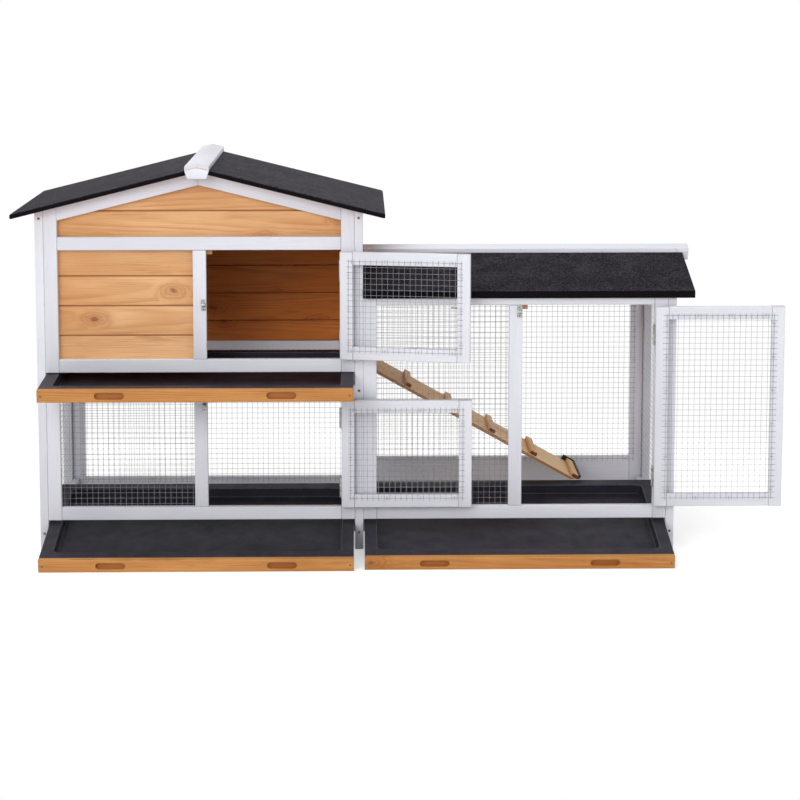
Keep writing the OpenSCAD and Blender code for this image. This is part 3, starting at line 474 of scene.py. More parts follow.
@dataclass(frozen=True)
class Felt(Finish):
    """Mineral roofing felt over a board that shows underneath."""

    ground: Colour = srgb(44, 42, 49)
    patch: Colour = srgb(41, 39, 46)
    grit: Colour = srgb(88, 85, 92)
    pit: Colour = srgb(14, 12, 18)
    # Painted shade: the felt's side faces, such as the roof's front edge, are drawn in this near-black colour.
    rim: Colour = srgb(10, 8, 13)
    board: Colour = srgb(178, 126, 84)
    ring: Colour = srgb(140, 92, 55)
    dust: Colour = srgb(150, 146, 146)

    def looks(self, w: Wiring, effects: Effects) -> dict[str, object]:
        """Felt on top and round the edges, with its side faces drawn near black as painted shade, and the board
        on the faces that look down.
        """
        place, up = w.placed(), w.split(w.facing())[2]
        read = w.group(effects.reading).outputs
        fig = w.group(effects.figure, Grain=read["Grain"], Spacing=7.0 * MM, Knots=0.2).outputs
        dust = w.group(effects.dust, Place=place, Amount=0.05).outputs[0]
        grit = w.noise(place, 240.0, 4.0, 0.85)
        felt = w.cover(
            w.blend(w.step(w.noise(place, 9.0, 3.0, 0.6), 0.35, 0.7), self.ground, self.patch),
            (w.step(grit, 0.52, 0.6), 1.0, self.grit),
            (w.step(grit, 0.47, 0.4), 1.0, self.pit),
            (dust, 1.0, self.dust),
            # Painted shade: the side faces of the felt turn near black.
            (w.step(w.size(up), 0.75, 0.45), 1.0, self.rim))
        under = w.cover(self.board, (fig["Rings"], 0.5, self.ring))
        return {"Base Color": w.blend(w.step(up, -0.82, -0.93), felt, under),
                "Roughness": w.step(grit, 0.35, 0.65, 0.92, 0.74),
                "Normal": w.bump(grit, 0.6 * MM, 0.55), "Specular IOR Level": 0.1}


@dataclass(frozen=True)
class Metal(Finish):
    """Plated or coated metal with a clouded surface."""

    base: Colour = srgb(176, 177, 179)
    cloud: Colour = srgb(146, 147, 150)
    spot: Colour = srgb(112, 108, 102)
    grime: Colour = srgb(186, 182, 176)
    metallic: float = 0.75
    roughness: float = 0.4
    scale: float = 160.0
    dust: float = 0.15

    def looks(self, w: Wiring, effects: Effects) -> dict[str, object]:
        """Metal whose colour and gloss vary in clouds, with dust on what looks up."""
        place = w.placed()
        cloud, fine = w.noise(place, self.scale, 4.0, 0.6), w.noise(place, self.scale * 7.0)
        colour = w.cover(
            w.blend(w.step(cloud, 0.38, 0.66), self.base, self.cloud),
            (w.step(fine, 0.62, 0.74), 0.5, self.spot),
            (w.group(effects.dust, Place=place, Amount=self.dust).outputs[0], 1.0, self.grime))
        return {"Base Color": colour, "Metallic": self.metallic,
                "Roughness": w.step(cloud, 0.35, 0.7, self.roughness, self.roughness + 0.16),
                "Normal": w.bump(cloud, 0.08 * MM, 0.5)}


@dataclass(frozen=True)
class Sheet(Finish):
    """Dark coated sheet, drawn lighter along its folds and rims as a painted highlight."""

    coat: Colour = srgb(41, 40, 49)
    deep: Colour = srgb(37, 36, 45)
    # Light colour of the real scratches, and also of the painted highlight along folds and rims.
    scratch_and_highlight: Colour = srgb(90, 89, 98)
    grime: Colour = srgb(140, 132, 122)

    def looks(self, w: Wiring, effects: Effects) -> dict[str, object]:
        """Coated sheet; the mesh's fold attribute is 1 on its bends and rims, which are lightened as a painted
        highlight.
        """
        place = w.placed()
        cloud = w.noise(place, 26.0, 5.0, 0.6)
        scratch = w.noise(w.vector("MULTIPLY", place, (380.0, 24.0, 200.0)), 1.0)
        highlight_share = w.step(w.noise(place, 140.0, 3.0, 0.6), 0.3, 0.6, 0.25, 0.8)
        colour = w.cover(
            w.blend(w.step(cloud, 0.36, 0.68), self.coat, self.deep),
            (w.step(scratch, 0.66, 0.78), 0.25, self.scratch_and_highlight),
            # Painted highlight along the folds and rims.
            (w.split(w.own("fold"))[0], highlight_share, self.scratch_and_highlight),
            (w.group(effects.dust, Place=place, Amount=0.04).outputs[0], 1.0, self.grime))
        return {"Base Color": colour, "Roughness": w.step(cloud, 0.35, 0.7, 0.48, 0.54),
                "Normal": w.bump(w.noise(place, 7.0), 4.0 * MM, 0.03), "Specular IOR Level": 0.2}


WHITE_PAINT = Paint("white_paint", "white_timber")
# Painted shade: the board finishes darken the faces that look along inner, into the cage, and through groove the
# V-groove chamfers between boards.
BOARD_PINE = Pine("stained_boards_shaded_inside", "board_pine", spacing=3.6 * MM, knots=0.5, groove=0.6, worn=0.0,
                  inner=(0.0, 1.0, 0.0))
REAR_PINE = replace(BOARD_PINE, name="stained_rear_boards_shaded_inside", inner=(0.0, -1.0, 0.0), knots=0.7, ringed=0.6)
LEFT_PINE = replace(BOARD_PINE, name="stained_left_boards_shaded_inside", inner=(1.0, 0.0, 0.0))
RIGHT_PINE = replace(BOARD_PINE, name="stained_right_boards_shaded_inside", inner=(-1.0, 0.0, 0.0))
RAMP_PINE = Pine("ramp_boards", "ramp_pine", pale=srgb(255, 224, 174), mid=srgb(250, 206, 148),
                 late=srgb(206, 146, 86), end=srgb(170, 96, 44), sided=0.75, spacing=3.4 * MM,
                 ringed=0.5, knots=0.2)
CLEAT_PINE = Pine("ramp_cleats", "cleat_pine", pale=srgb(246, 206, 156), mid=srgb(232, 182, 126),
                  late=srgb(190, 132, 80), end=srgb(104, 26, 5), spacing=3.0 * MM, ringed=0.45, knots=0.08)
# TRAY_PINE paints shade into its finger grooves through recess.
TRAY_PINE = Pine("tray_fronts", "tray_front_pine", pale=srgb(206, 148, 84), mid=srgb(186, 126, 64),
                 late=srgb(150, 88, 36), end=srgb(130, 76, 36), spacing=3.2 * MM, ringed=0.5, knots=0.5,
                 recess=0.5)
RAW_PINE = Pine("raw_timber", "raw_timber", pale=srgb(205, 158, 112), mid=srgb(184, 134, 90),
                late=srgb(150, 98, 58), end=srgb(150, 104, 68), knots=0.15)
# The same felt in two copies: the run's copy is darker, painted shade that stands in for how differently the two
# roofs catch the light.
HOUSE_FELT = Felt("house_felt", "roofing_felt")
RUN_FELT_PAINTED_DARKER = Felt("run_felt_painted_darker", "roofing_felt", ground=srgb(26, 23, 31), patch=srgb(24, 21, 29),
                grit=srgb(62, 59, 67), pit=srgb(8, 6, 12), rim=srgb(8, 6, 11))
NET_WIRE = Metal("galvanised_wire", "net_wire", base=srgb(154, 156, 160), cloud=srgb(134, 136, 140),
                 metallic=0.3, roughness=0.42, dust=0.0)
ZINC = Metal("zinc_plate", "zinc_steel", base=srgb(184, 184, 182), cloud=srgb(150, 150, 148))
SCREW_STEEL = Metal("screw_heads", "zinc_steel", base=srgb(138, 112, 88), cloud=srgb(104, 82, 62),
                    spot=srgb(66, 52, 42), metallic=0.5, roughness=0.42, scale=500.0, dust=0.0)
BLACK_STEEL = Metal("black_steel", "black_steel", base=srgb(26, 26, 28), cloud=srgb(18, 18, 20),
                    spot=srgb(52, 50, 48), metallic=0.1, roughness=0.5, dust=0.04)
TRAY_SHEET = Sheet("coated_sheet", "tray_sheet")


class Shop:
    """Keeps the finishes and makes each one's material once."""

    def __init__(self) -> None:
        """Builds the shared effects."""
        self.effects = Effects()
        self.made: dict[str, bpy.types.Material] = {}

    def dress(self, piece: bpy.types.Object, finish: Finish, body: str, node: str | None = None) -> None:
        """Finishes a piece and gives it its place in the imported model.

        Args:
            piece: the piece.
            finish: what it is dressed in.
            body: the body that it rides on.
            node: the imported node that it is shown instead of, if any.
        """
        if finish.name not in self.made:
            self.made[finish.name] = finish.material(self.effects)
        piece.data.materials.clear()
        piece.data.materials.append(self.made[finish.name])
        if node:
            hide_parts(node)
        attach(piece, body)
        log.info("%s: %d faces, %s, on %s", piece.name, len(piece.data.polygons), finish.name, body)


# ---- Meshes ----


def linked(name: str, data: bpy.types.ID) -> bpy.types.Object:
    """Makes an object of a mesh, a lamp or a camera and links it to the scene."""
    made = bpy.data.objects.new(name, data)
    bpy.context.scene.collection.objects.link(made)
    return made


def piece_of(name: str, *shapes: Shape, marks: Array | None = None, smooth: bool = True) -> bpy.types.Object:
    """Makes one piece of one or more shapes, at the origin.

    Args:
        name: the piece's name.
        shapes: each one's points and index arrays of its faces, one array for each number of corners.
        marks: one value for each point, kept as the fold attribute.
        smooth: whether faces shade into each other.

    Returns:
        The piece, linked to the scene.
    """
    points = np.vstack([shape[0] for shape in shapes])
    starts = np.cumsum([0] + [len(shape[0]) for shape in shapes])
    groups = [group + start for start, shape in zip(starts, shapes) for group in shape[1]]
    marks = np.zeros(len(points)) if marks is None else marks
    mesh = bpy.data.meshes.new(name)
    mesh.from_pydata(points.tolist(), [], [row for group in groups for row in group.tolist()])
    mesh.attributes.new("fold", "FLOAT", "POINT").data.foreach_set("value", marks)
    mesh.polygons.foreach_set("use_smooth", np.full(len(mesh.polygons), smooth))
    mesh.update()
    return linked(name, mesh)


def grid_faces(rows: int, columns: int, closed: bool = False) -> Array:
    """Quads of a grid whose point of row i and column j has the index i times columns plus j.

    Args:
        rows: rows of points.
        columns: points in a row.
        closed: whether each row's end joins its start.

    Returns:
        Array of four indices for each quad.
    """
    i = np.arange(rows - 1)[:, None] * columns
    j = np.arange(columns if closed else columns - 1)[None, :]
    right = (j + 1) % columns
    return np.stack([i + j, i + right, i + columns + right, i + columns + j], axis=-1).reshape(-1, 4)


def end_faces(rows: int, columns: int) -> Array:
    """The first row of a closed grid as a face, and the last row taken the other way round."""
    row = np.arange(columns)
    return np.array([row, row[::-1] + (rows - 1) * columns])


def circle(count: int) -> Array:
    """Angles of equal steps round a circle."""
    return np.arange(count) * 2 * np.pi / count


def unit(rows: Array) -> Array:
    """Rows scaled to a length of 1."""
    return rows / np.linalg.norm(rows, axis=1, keepdims=True)


def stamped(points: Array, faces: Array, places: Array, turns: Array) -> tuple[Array, Array]:
    """Copies of a shape: each point turned by a place's matrix and moved to the place.

    Args:
        points: the shape's points.
        faces: its faces, all of one number of corners.
        places: where the copies go.
        turns: a matrix for each place whose rows are the shape's own directions.

    Returns:
        Points and faces of all the copies.
    """
    moved = np.einsum("pk,nkj->npj", points, turns) + places[:, None, :]
    indexed = faces[None] + (np.arange(len(places)) * len(points))[:, None, None]
    return moved.reshape(-1, 3), indexed.reshape(-1, faces.shape[1])


def turned(normals: Array, heading: Array) -> Array:
    """Matrices whose third row is a normal and whose first row is the heading laid square to it."""
    third = unit(normals)
    first = unit(heading - third * np.sum(heading * third, axis=1, keepdims=True))
    return np.stack([first, np.cross(third, first), third], axis=1)


@dataclass(frozen=True)
class Bench:
    """Turns a closed door's or a level tray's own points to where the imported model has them."""

    pivot: Triple = (0.0, 0.0, 0.0)
    axis: Triple = (0.0, 0.0, 1.0)
    angle: float = 0.0
    slide: Triple = (0.0, 0.0, 0.0)

    def matrix(self) -> Array:
        """Turning matrix round the axis by the angle."""
        x, y, z = self.axis
        skew = np.array([[0, -z, y], [z, 0, -x], [-y, x, 0]])
        return np.eye(3) + math.sin(self.angle) * skew + (1 - math.cos(self.angle)) * (skew @ skew)

    def put(self, points: Array) -> Array:
        """Points moved by the slide and turned round the pivot."""
        return (points + self.slide - self.pivot) @ self.matrix().T + self.pivot

    def back(self, points: Array) -> Array:
        """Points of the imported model, brought back to the closed or level place."""
        return (points - self.pivot) @ self.matrix() + self.pivot - self.slide


def read(items: bpy.types.bpy_prop_collection, key: str, width: int = 1, kind: type = float) -> Array:
    """One property of all of a mesh's points, edges, faces or corners, in rows of a width."""
    flat = np.empty(len(items) * width, kind)
    items.foreach_get(key, flat)
    return flat.reshape(-1, width) if width > 1 else flat


def node_points(node: str) -> Array:
    """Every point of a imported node."""
    return read(frame["nodes"][node].data.vertices, "co", 3)


def node_box(node: str, bench: Bench = Bench()) -> tuple[Array, Array]:
    """Lowest and highest corner of a node, brought back by a bench."""
    points = bench.back(node_points(node))
    return points.min(axis=0), points.max(axis=0)


def joint(name: str) -> dict:
    """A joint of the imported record."""
    return next(j for j in frame["joints"] if j["name"] == name)


def body_of(node: str) -> str:
    """Name of the body that a node rides on."""
    return frame["nodes"][node]["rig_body"]


# ---- Makers ----


@dataclass
class Joinery:
    """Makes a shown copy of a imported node, with eased arrises and what its finish reads."""

    shop: Shop
    merge: float = 0.01 * MM
    flat_below: float = math.radians(0.6)
    sharp_above: float = math.radians(28)
    broad: float = 2 * MM
    within: float = 0.9
    pith_spread: tuple[tuple[float, float], ...] = ((-9, 9), (-0.03, 0.03), (-0.006, 0.02))

    def build(self, node: str, finish: Finish, way: Way = Way.OWN, ease: float = 0.5 * MM) -> None:
        """Copies a node, merges its corners, eases its edges and shows it instead of the node.

        Args:
            node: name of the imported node.
            finish: what it is dressed in.
            way: grain direction, where the piece's own length isn't it.
            ease: radius of the bevel on its edges, or 0 for none.
        """
        mesh = frame["nodes"][node].data.copy()
        mesh.name = node + "_shown"
        work = bmesh.new()
        work.from_mesh(mesh)
        bmesh.ops.remove_doubles(work, verts=work.verts, dist=self.merge)
        bmesh.ops.dissolve_limit(work, angle_limit=self.flat_below, verts=work.verts, edges=work.edges)
        work.to_mesh(mesh)
        work.free()
        self._mark(mesh, node, way)
        piece = linked(mesh.name, mesh)
        mesh.polygons.foreach_set("use_smooth", np.ones(len(mesh.polygons), bool))
        if ease > 0:
            bevel = piece.modifiers.new("eased", "BEVEL")
            bevel.width, bevel.segments, bevel.limit_method = ease, 2 if ease < self.broad else 4, "ANGLE"
            bevel.angle_limit, bevel.harden_normals, bevel.use_clamp_overlap = self.sharp_above, True, True
        self.shop.dress(piece, finish, body_of(node), node)

    def _mark(self, mesh: bpy.types.Mesh, name: str, way: Way) -> None:
        """Writes the grain, span, axis, side and sunk attributes of each stick in a mesh.

        A stick is a set of points joined by edges. Its thickness runs along the normal that most of its surface
        has, and its length along the cross product of that and the next square normal, unless way gives it. A
        point is sunk where it lies inside the stick's own box, as on the floor of a finger groove.
        """
        points, normals = read(mesh.vertices, "co", 3), read(mesh.polygons, "normal", 3)
        areas, starts = read(mesh.polygons, "area"), read(mesh.polygons, "loop_start", kind=int)
        label = self._islands(read(mesh.edges, "vertices", 2, int), len(points))
        owner = label[read(mesh.loops, "vertex_index", kind=int)[starts]]
        rng = seeded(name)
        sunk = np.zeros(len(points))
        grain, span, axis, side = (np.zeros_like(points) for _ in range(4))
        for stick in np.unique(label):
            mine, held = owner == stick, label == stick
            along, through = self._directions(normals[mine], areas[mine], way)
            local = np.stack([points[held] @ d for d in (along, np.cross(through, along), through)], axis=1)
            local -= (local.min(axis=0) + local.max(axis=0)) / 2
            reach = np.abs(local).max(axis=0)
            sunk[held] = np.all(np.abs(local) < self.within * reach, axis=1)
            grain[held] = local + [rng.uniform(*limits) for limits in self.pith_spread]
            span[held] = np.stack(np.broadcast_arrays(local[:, 0], reach[0], rng.random()), axis=1)
            axis[held], side[held] = along, through
        for key, values in (("grain", grain), ("span", span), ("axis", axis), ("side", side)):
            mesh.attributes.new(key, "FLOAT_VECTOR", "POINT").data.foreach_set("vector", values.ravel())
        mesh.attributes.new("sunk", "FLOAT", "POINT").data.foreach_set("value", sunk)

    @staticmethod
    def _islands(ends: Array, count: int) -> Array:
        """Label of each point: the lowest index of the points that edges join it to."""
        label, new = None, np.arange(count)
        while not np.array_equal(new, label):
            label, new = new, new.copy()
            np.minimum.at(new, ends.ravel(), np.repeat(label[ends].min(axis=1), 2))
        return label

    @staticmethod
    def _directions(normals: Array, areas: Array, way: Way) -> tuple[Array, Array]:
        """Length and thickness directions of one stick.

        Normals that look against a tilted line are turned round, so that a face and its opposite count as one.
        The thickness is the direction with the most area, and the width the one with the most area square to it.
        """
        tilted, fineness, square_to_way, square_to_face = np.array([0.11, 0.53, 0.84]), 20, 0.35, 0.3
        folded = normals * np.where(normals @ tilted < 0, -1.0, 1.0)[:, None]
        if way is not Way.OWN:
            along = np.array(way.value)
            areas = np.where(np.abs(folded @ along) < square_to_way, areas, 0.0)
        keys, inverse = np.unique(np.round(folded * fineness), axis=0, return_inverse=True)
        totals = np.bincount(inverse.reshape(-1), weights=areas, minlength=len(keys))
        through = keys[np.argmax(totals)] / np.linalg.norm(keys[np.argmax(totals)])
        if way is Way.OWN:
            units = keys / np.maximum(np.linalg.norm(keys, axis=1, keepdims=True), 1e-9)
            across = units[np.argmax(np.where(np.abs(units @ through) < square_to_face, totals, -1.0))]
            along = np.cross(through, across)
        along = along - through * (along @ through)
        return along / np.linalg.norm(along), through


@dataclass
class NetWork:
    """Welded nets: straight wires both ways, a weld where they cross, and staples on what they lie on.

    A net is worked out as width, height and depth round its middle, and laid in its plane at the end. The lift of
    a wire off the net's middle and the weld's radius and half thickness are shares of the wire's radius.
    """

    shop: Shop
    pitch: float = 12.7 * MM
    wire_r: float = 0.36 * MM
    wire_sides: int = 6
    lift: float = 0.28
    weld_r: float = 1.9
    weld_t: float = 1.15
    waver: float = 0.16 * MM
    tail: float = 2.6 * MM
    staple_gap: float = 76.0 * MM
    staple_skew: float = 0.18
    staple_path: tuple = ((-3.6, 0.0), (-3.5, 1.35), (-2.9, 1.75), (2.9, 1.75), (3.5, 1.35), (3.6, 0.0))
    staple_section: tuple = ((0.55, 0.25), (-0.55, 0.25), (-0.55, -0.25), (0.55, -0.25))

    def build(self, node: str, bench: Bench = Bench(), inward: int = 1) -> None:
        """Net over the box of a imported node, and its staples.

        Args:
            node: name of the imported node, a thin plate in the X-Z or Y-Z plane once brought back.
            bench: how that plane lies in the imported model.
            inward: side of the net, along its thin direction, that the staples' crowns stand on.
        """
        low, high = node_box(node, bench)
        thin = 0 if high[0] - low[0] < high[1] - low[1] else 1
        wide = 1 - thin
        size = (high - low)[[wide, 2]]
        counts = np.floor((size - 2 * self.tail) / self.pitch).astype(int) + 1
        across, upward = (np.arange(count) * self.pitch - (count - 1) * self.pitch / 2 for count in counts)

        def lay(points: Array, faces: list[Array]) -> Shape:
            """Lays a shape in the net's plane, with its faces looking the way they did."""
            laid = np.empty_like(points)
            laid[:, [wide, 2, thin]] = points
            return bench.put(laid + (low + high) / 2), [f[:, ::-1] for f in faces] if thin == 1 else faces

        wires = piece_of(node + "_wires", lay(*self._wires(across, size, False)),
                         lay(*self._wires(upward, size, True)), lay(*self._welds(across, upward, size)))
        self.shop.dress(wires, NET_WIRE, body_of(node), node)
        name = node + "_staples"
        depth = -inward * (high[thin] - low[thin]) / 2
        staples = piece_of(name, lay(*self._staples(name, across, upward, depth, inward)), smooth=False)
        self.shop.dress(staples, ZINC, body_of(node))

    def _sway(self, x: Array, z: Array, size: Array) -> Array:
        """Small wander of the net: sums of slow sines, which fade out towards its edges."""
        fade = np.cos(np.pi * np.clip(x / size[0], -0.5, 0.5)) * np.cos(np.pi * np.clip(z / size[1], -0.5, 0.5))
        a = np.sin(31 * x + 9 * z + 1.3) + 0.6 * np.sin(73 * x - 17 * z)
        b = np.sin(27 * z - 11 * x + 0.4) + 0.6 * np.sin(61 * z + 13 * x)
        c = np.sin(19 * x + 23 * z + 2.0)
        return np.stack([a * fade, b * fade, c * fade], axis=-1) * self.waver

    def _wires(self, stations: Array, size: Array, level: bool) -> Shape:
        """Parallel wires: at each station a six-sided tube over the net's length, closed at both ends.

        Args:
            stations: places of the wires across their run.
            size: width and height of the net.
            level: whether they run level, and not upright.

        Returns:
            Their points and faces.
        """
        length, lift = (size[0], -self.lift) if level else (size[1], self.lift)
        rings, sides = max(4, int(length / (3 * self.pitch))), self.wire_sides
        run = np.linspace(-length / 2, length / 2, rings)
        n, r, s = np.meshgrid(stations, run, circle(sides), indexing="ij")
        cross, deep = n + self.wire_r * np.cos(s), self.wire_r * (lift + np.sin(s))
        first, second, *centre = (r, cross, r, n) if level else (cross, r, n, r)
        points = np.stack([first, second, deep], axis=-1) + self._sway(*centre, size)
        starts = (np.arange(len(stations)) * rings * sides)[:, None, None]
        faces = [(f[None, :, ::-1 if level else 1] + starts).reshape(-1, f.shape[1])
                 for f in (grid_faces(rings, sides, closed=True), end_faces(rings, sides))]
        return points.reshape(-1, 3), faces

    def _welds(self, across: Array, upward: Array, size: Array) -> Shape:
        """An eight-sided bead at each crossing."""
        x, z = (m.ravel() for m in np.meshgrid(across, upward, indexing="ij"))
        r, t = self.weld_r, self.weld_t
        bead = np.array([[r, 0, 0], [-r, 0, 0], [0, r, 0], [0, -r, 0], [0, 0, t], [0, 0, -t]]) * self.wire_r
        faces = np.array([[2, 4, 0], [1, 4, 2], [3, 4, 1], [0, 4, 3], [0, 5, 2], [2, 5, 1], [1, 5, 3], [3, 5, 0]])
        places = np.stack([x, z, np.zeros_like(x)], axis=-1) + self._sway(x, z, size)
        points, faces = stamped(bead, faces, places, np.repeat(np.eye(3)[None], len(x), axis=0))
        return points, [faces]

    def _staples(self, name: str, across: Array, upward: Array, depth: float, inward: int) -> Shape:
        """Staples over the net's outer wires: a flat wire that rises, crosses and goes down into the wood.

        Args:
            name: what their random turns are drawn for.
            across: places of the upright wires.
            upward: places of the level wires.
            depth: where the wood's face is.
            inward: way that the crowns look.

        Returns:
            Their points and faces.
        """
        every = slice(1, -1, max(1, round(self.staple_gap / self.pitch)))
        rows = [(stations[every] + self.pitch / 2, end, heading)
                for stations, ends, heading in ((across, upward, (0.0, 1.0)), (upward, across, (1.0, 0.0)))
                for end in (ends[0], ends[-1])]
        spots = np.vstack([np.stack([row, np.full_like(row, end)], 1)[:, ::1 if heading[1] else -1]
                           for row, end, heading in rows])
        heading = np.vstack([np.repeat([heading], len(row), axis=0) for row, _, heading in rows])
        skew = seeded(name).uniform(-self.staple_skew, self.staple_skew, len(spots))[:, None]
        heading = heading * np.cos(skew) + heading[:, ::-1] * [1, -1] * np.sin(skew)
        path, section = np.array(self.staple_path) * MM, np.array(self.staple_section) * MM
        ways = unit(np.gradient(path, axis=0))
        rise = np.stack([-ways[:, 1], ways[:, 0]], axis=1)
        shape = np.zeros((len(path), len(section), 3))
        shape[:, :, ::2] = path[:, None] + rise[:, None] * section[None, :, 1:]
        shape[:, :, 1] = section[:, 0]
        sides = (len(path), len(section))
        faces = np.vstack([grid_faces(*sides, closed=True), end_faces(*sides)[:, ::-1]])
        places = np.column_stack([spots, np.full(len(spots), depth)])
        turns = turned(np.tile([0.0, 0.0, inward], (len(spots), 1)), np.pad(heading, ((0, 0), (0, 1))))
        points, faces = stamped(shape.reshape(-1, 3), faces, places, turns)
        return points, [faces]


@dataclass
class Fixings:
    """Screw heads with a cross recess.

    The rings, the slots' reach and the pit are shares of the head's radius. The fall towards the rim and the
    depth of slots and pit are shares of the dome.
    """

    shop: Shop
    head_r: float = 3.1 * MM
    dome: float = 0.85 * MM
    skirt: float = 0.05 * MM
    sectors: int = 24
    fall: float = 0.75
    slot_w: float = 0.3
    slot_r: float = 0.5
    pit_r: float = 0.2
    pit_depth: float = 0.5
    shares: tuple[float, ...] = (0.12, 0.3, 0.42, 0.56, 0.78, 0.94, 1.0, 1.0)

    def build(self, name: str, spots: list[tuple], body: str, radius: float | None = None,
              bench: Bench = Bench()) -> None:
        """Screw heads that look to the front or the rear.

        A head is a disc of rings whose height falls with the square of the radius, with its inner rings let down
        where the angle is near one of two square lines.

        Args:
            name: the piece's name.
            spots: for each head its place on the face that it sits on, and -1 for the front or 1 for the rear.
            body: what they ride on.
            radius: of the heads, if not the usual one.
            bench: what turns them along with a door or a tray.
        """
        table, radius = np.array(spots), radius or self.head_r
        normals = (table[:, 3:] * [0.0, 1.0, 0.0]) @ bench.matrix().T
        r, a = np.meshgrid(self.shares, circle(self.sectors), indexing="ij")
        height = self.dome * (1 - r ** 2 * self.fall) * radius / self.head_r
        slots = (np.abs(np.sin(2 * a)) < self.slot_w) & (r < self.slot_r)
        height = np.where(slots | (r < self.pit_r), height - self.pit_depth * self.dome, height)
        height[-1] = -self.skirt
        points = np.stack([r * np.cos(a) * radius, r * np.sin(a) * radius, height], axis=-1).reshape(-1, 3)
        turns = turned(normals, np.cross(normals, seeded(name).normal(size=normals.shape)))
        sides = (len(self.shares), self.sectors)
        heads = [stamped(points, faces, bench.put(table[:, :3]), turns)
                 for faces in (grid_faces(*sides, closed=True), end_faces(*sides))]
        piece = piece_of(name, (heads[0][0], [faces for _, faces in heads]))
        self.shop.dress(piece, SCREW_STEEL, body)


# ---- Parts of the cage ----


@dataclass
class Part:
    """Part of the cage, with the makers that all of them share."""

    shop: Shop
    joinery: Joinery
    nets: NetWork
    fixings: Fixings

    def build(self) -> None:
        """Builds every piece; each part of the cage has its own."""
        raise NotImplementedError


@dataclass
class House(Part):
    """Frames, boards and nets of the two-storey house."""

    screw_z: tuple[float, ...] = (39.5 * MM, 367 * MM, 760 * MM)

    def build(self) -> None:
        """Builds every piece of the house."""
        for part in ("left_wall", "right_wall", "front_lower", "front_upper", "rear_lower", "rear_upper"):
            self.joinery.build(f"house_{part}_frame", WHITE_PAINT)
        for part, finish, way in (("front_panel", BOARD_PINE, Way.ACROSS),
                                  ("front_gable", BOARD_PINE, Way.ACROSS),
                                  ("rear_wall", REAR_PINE, Way.ACROSS),
                                  ("left_wall", LEFT_PINE, Way.DEEP),
                                  ("right_wall", RIGHT_PINE, Way.DEEP)):
            self.joinery.build(f"{part}_boards", finish, way)
        self.joinery.build("door_stop_blocks", RAW_PINE)
        self.joinery.build("house_tray_runners", WHITE_PAINT, Way.DEEP)
        self.nets.build("house_front_net")
        self.nets.build("house_left_net")
        self.nets.build("house_rear_net", inward=-1)
        spots = []
        for node in ("house_left_wall_frame", "house_right_wall_frame"):
            low, high = node_box(node)
            spots += [((low[0] + high[0]) / 2, y, z, way)
                      for z in self.screw_z for y, way in ((low[1], -1.0), (high[1], 1.0))]
        self.fixings.build("house_post_screws", spots, "cage")


@dataclass
class Run(Part):
    """Frames and nets of the run beside the house."""

    screw_z: tuple[float, ...] = (39.5 * MM, 547 * MM)

    def build(self) -> None:
        """Builds every piece of the run."""
        for part in ("front", "rear", "right_wall"):
            self.joinery.build(f"run_{part}_frame", WHITE_PAINT)
        self.joinery.build("run_tray_runners", WHITE_PAINT, Way.DEEP)
        self.nets.build("run_front_net")
        self.nets.build("run_rear_net", inward=-1)
        self.nets.build("run_right_net", inward=-1)
        low, high = node_box("run_right_wall_frame")
        spots = [((low[0] + high[0]) / 2, y, z, way)
                 for y, way in ((low[1], -1.0), (high[1], 1.0)) for z in self.screw_z]
        self.fixings.build("run_post_screws", spots, "cage")


@dataclass
class Roofs(Part):
    """Felted boards, ridge caps and the blocks that close them."""

    house_ease: float = 4.2 * MM
    run_ease: float = 4.0 * MM
    cap_ease: float = 0.7 * MM

    def build(self) -> None:
        """Builds the roofs."""
        for node in ("main_roof_left", "main_roof_right"):
            self.joinery.build(node, HOUSE_FELT, Way.DEEP, self.house_ease)
        for node in ("run_roof_front", "run_roof_rear"):
            self.joinery.build(node, RUN_FELT_PAINTED_DARKER, Way.ACROSS, self.run_ease)
        for node, way in (("main_ridge_cap", Way.DEEP), ("run_ridge_cap", Way.ACROSS),
                          ("ridge_end_blocks", Way.UP)):
            self.joinery.build(node, WHITE_PAINT, way, self.cap_ease)


@dataclass
class Ramp(Part):
    """Cleated ramp from the upper storey into the run."""

    strip_ease: float = 0.3 * MM

    def build(self) -> None:
        """Builds the board, the cleats and the strip at the foot."""
        self.joinery.build("ramp_board", RAMP_PINE)
        self.joinery.build("ramp_cleats", CLEAT_PINE, Way.DEEP)
        self.joinery.build("ramp_foot_bracket", BLACK_STEEL, Way.DEEP, self.strip_ease)


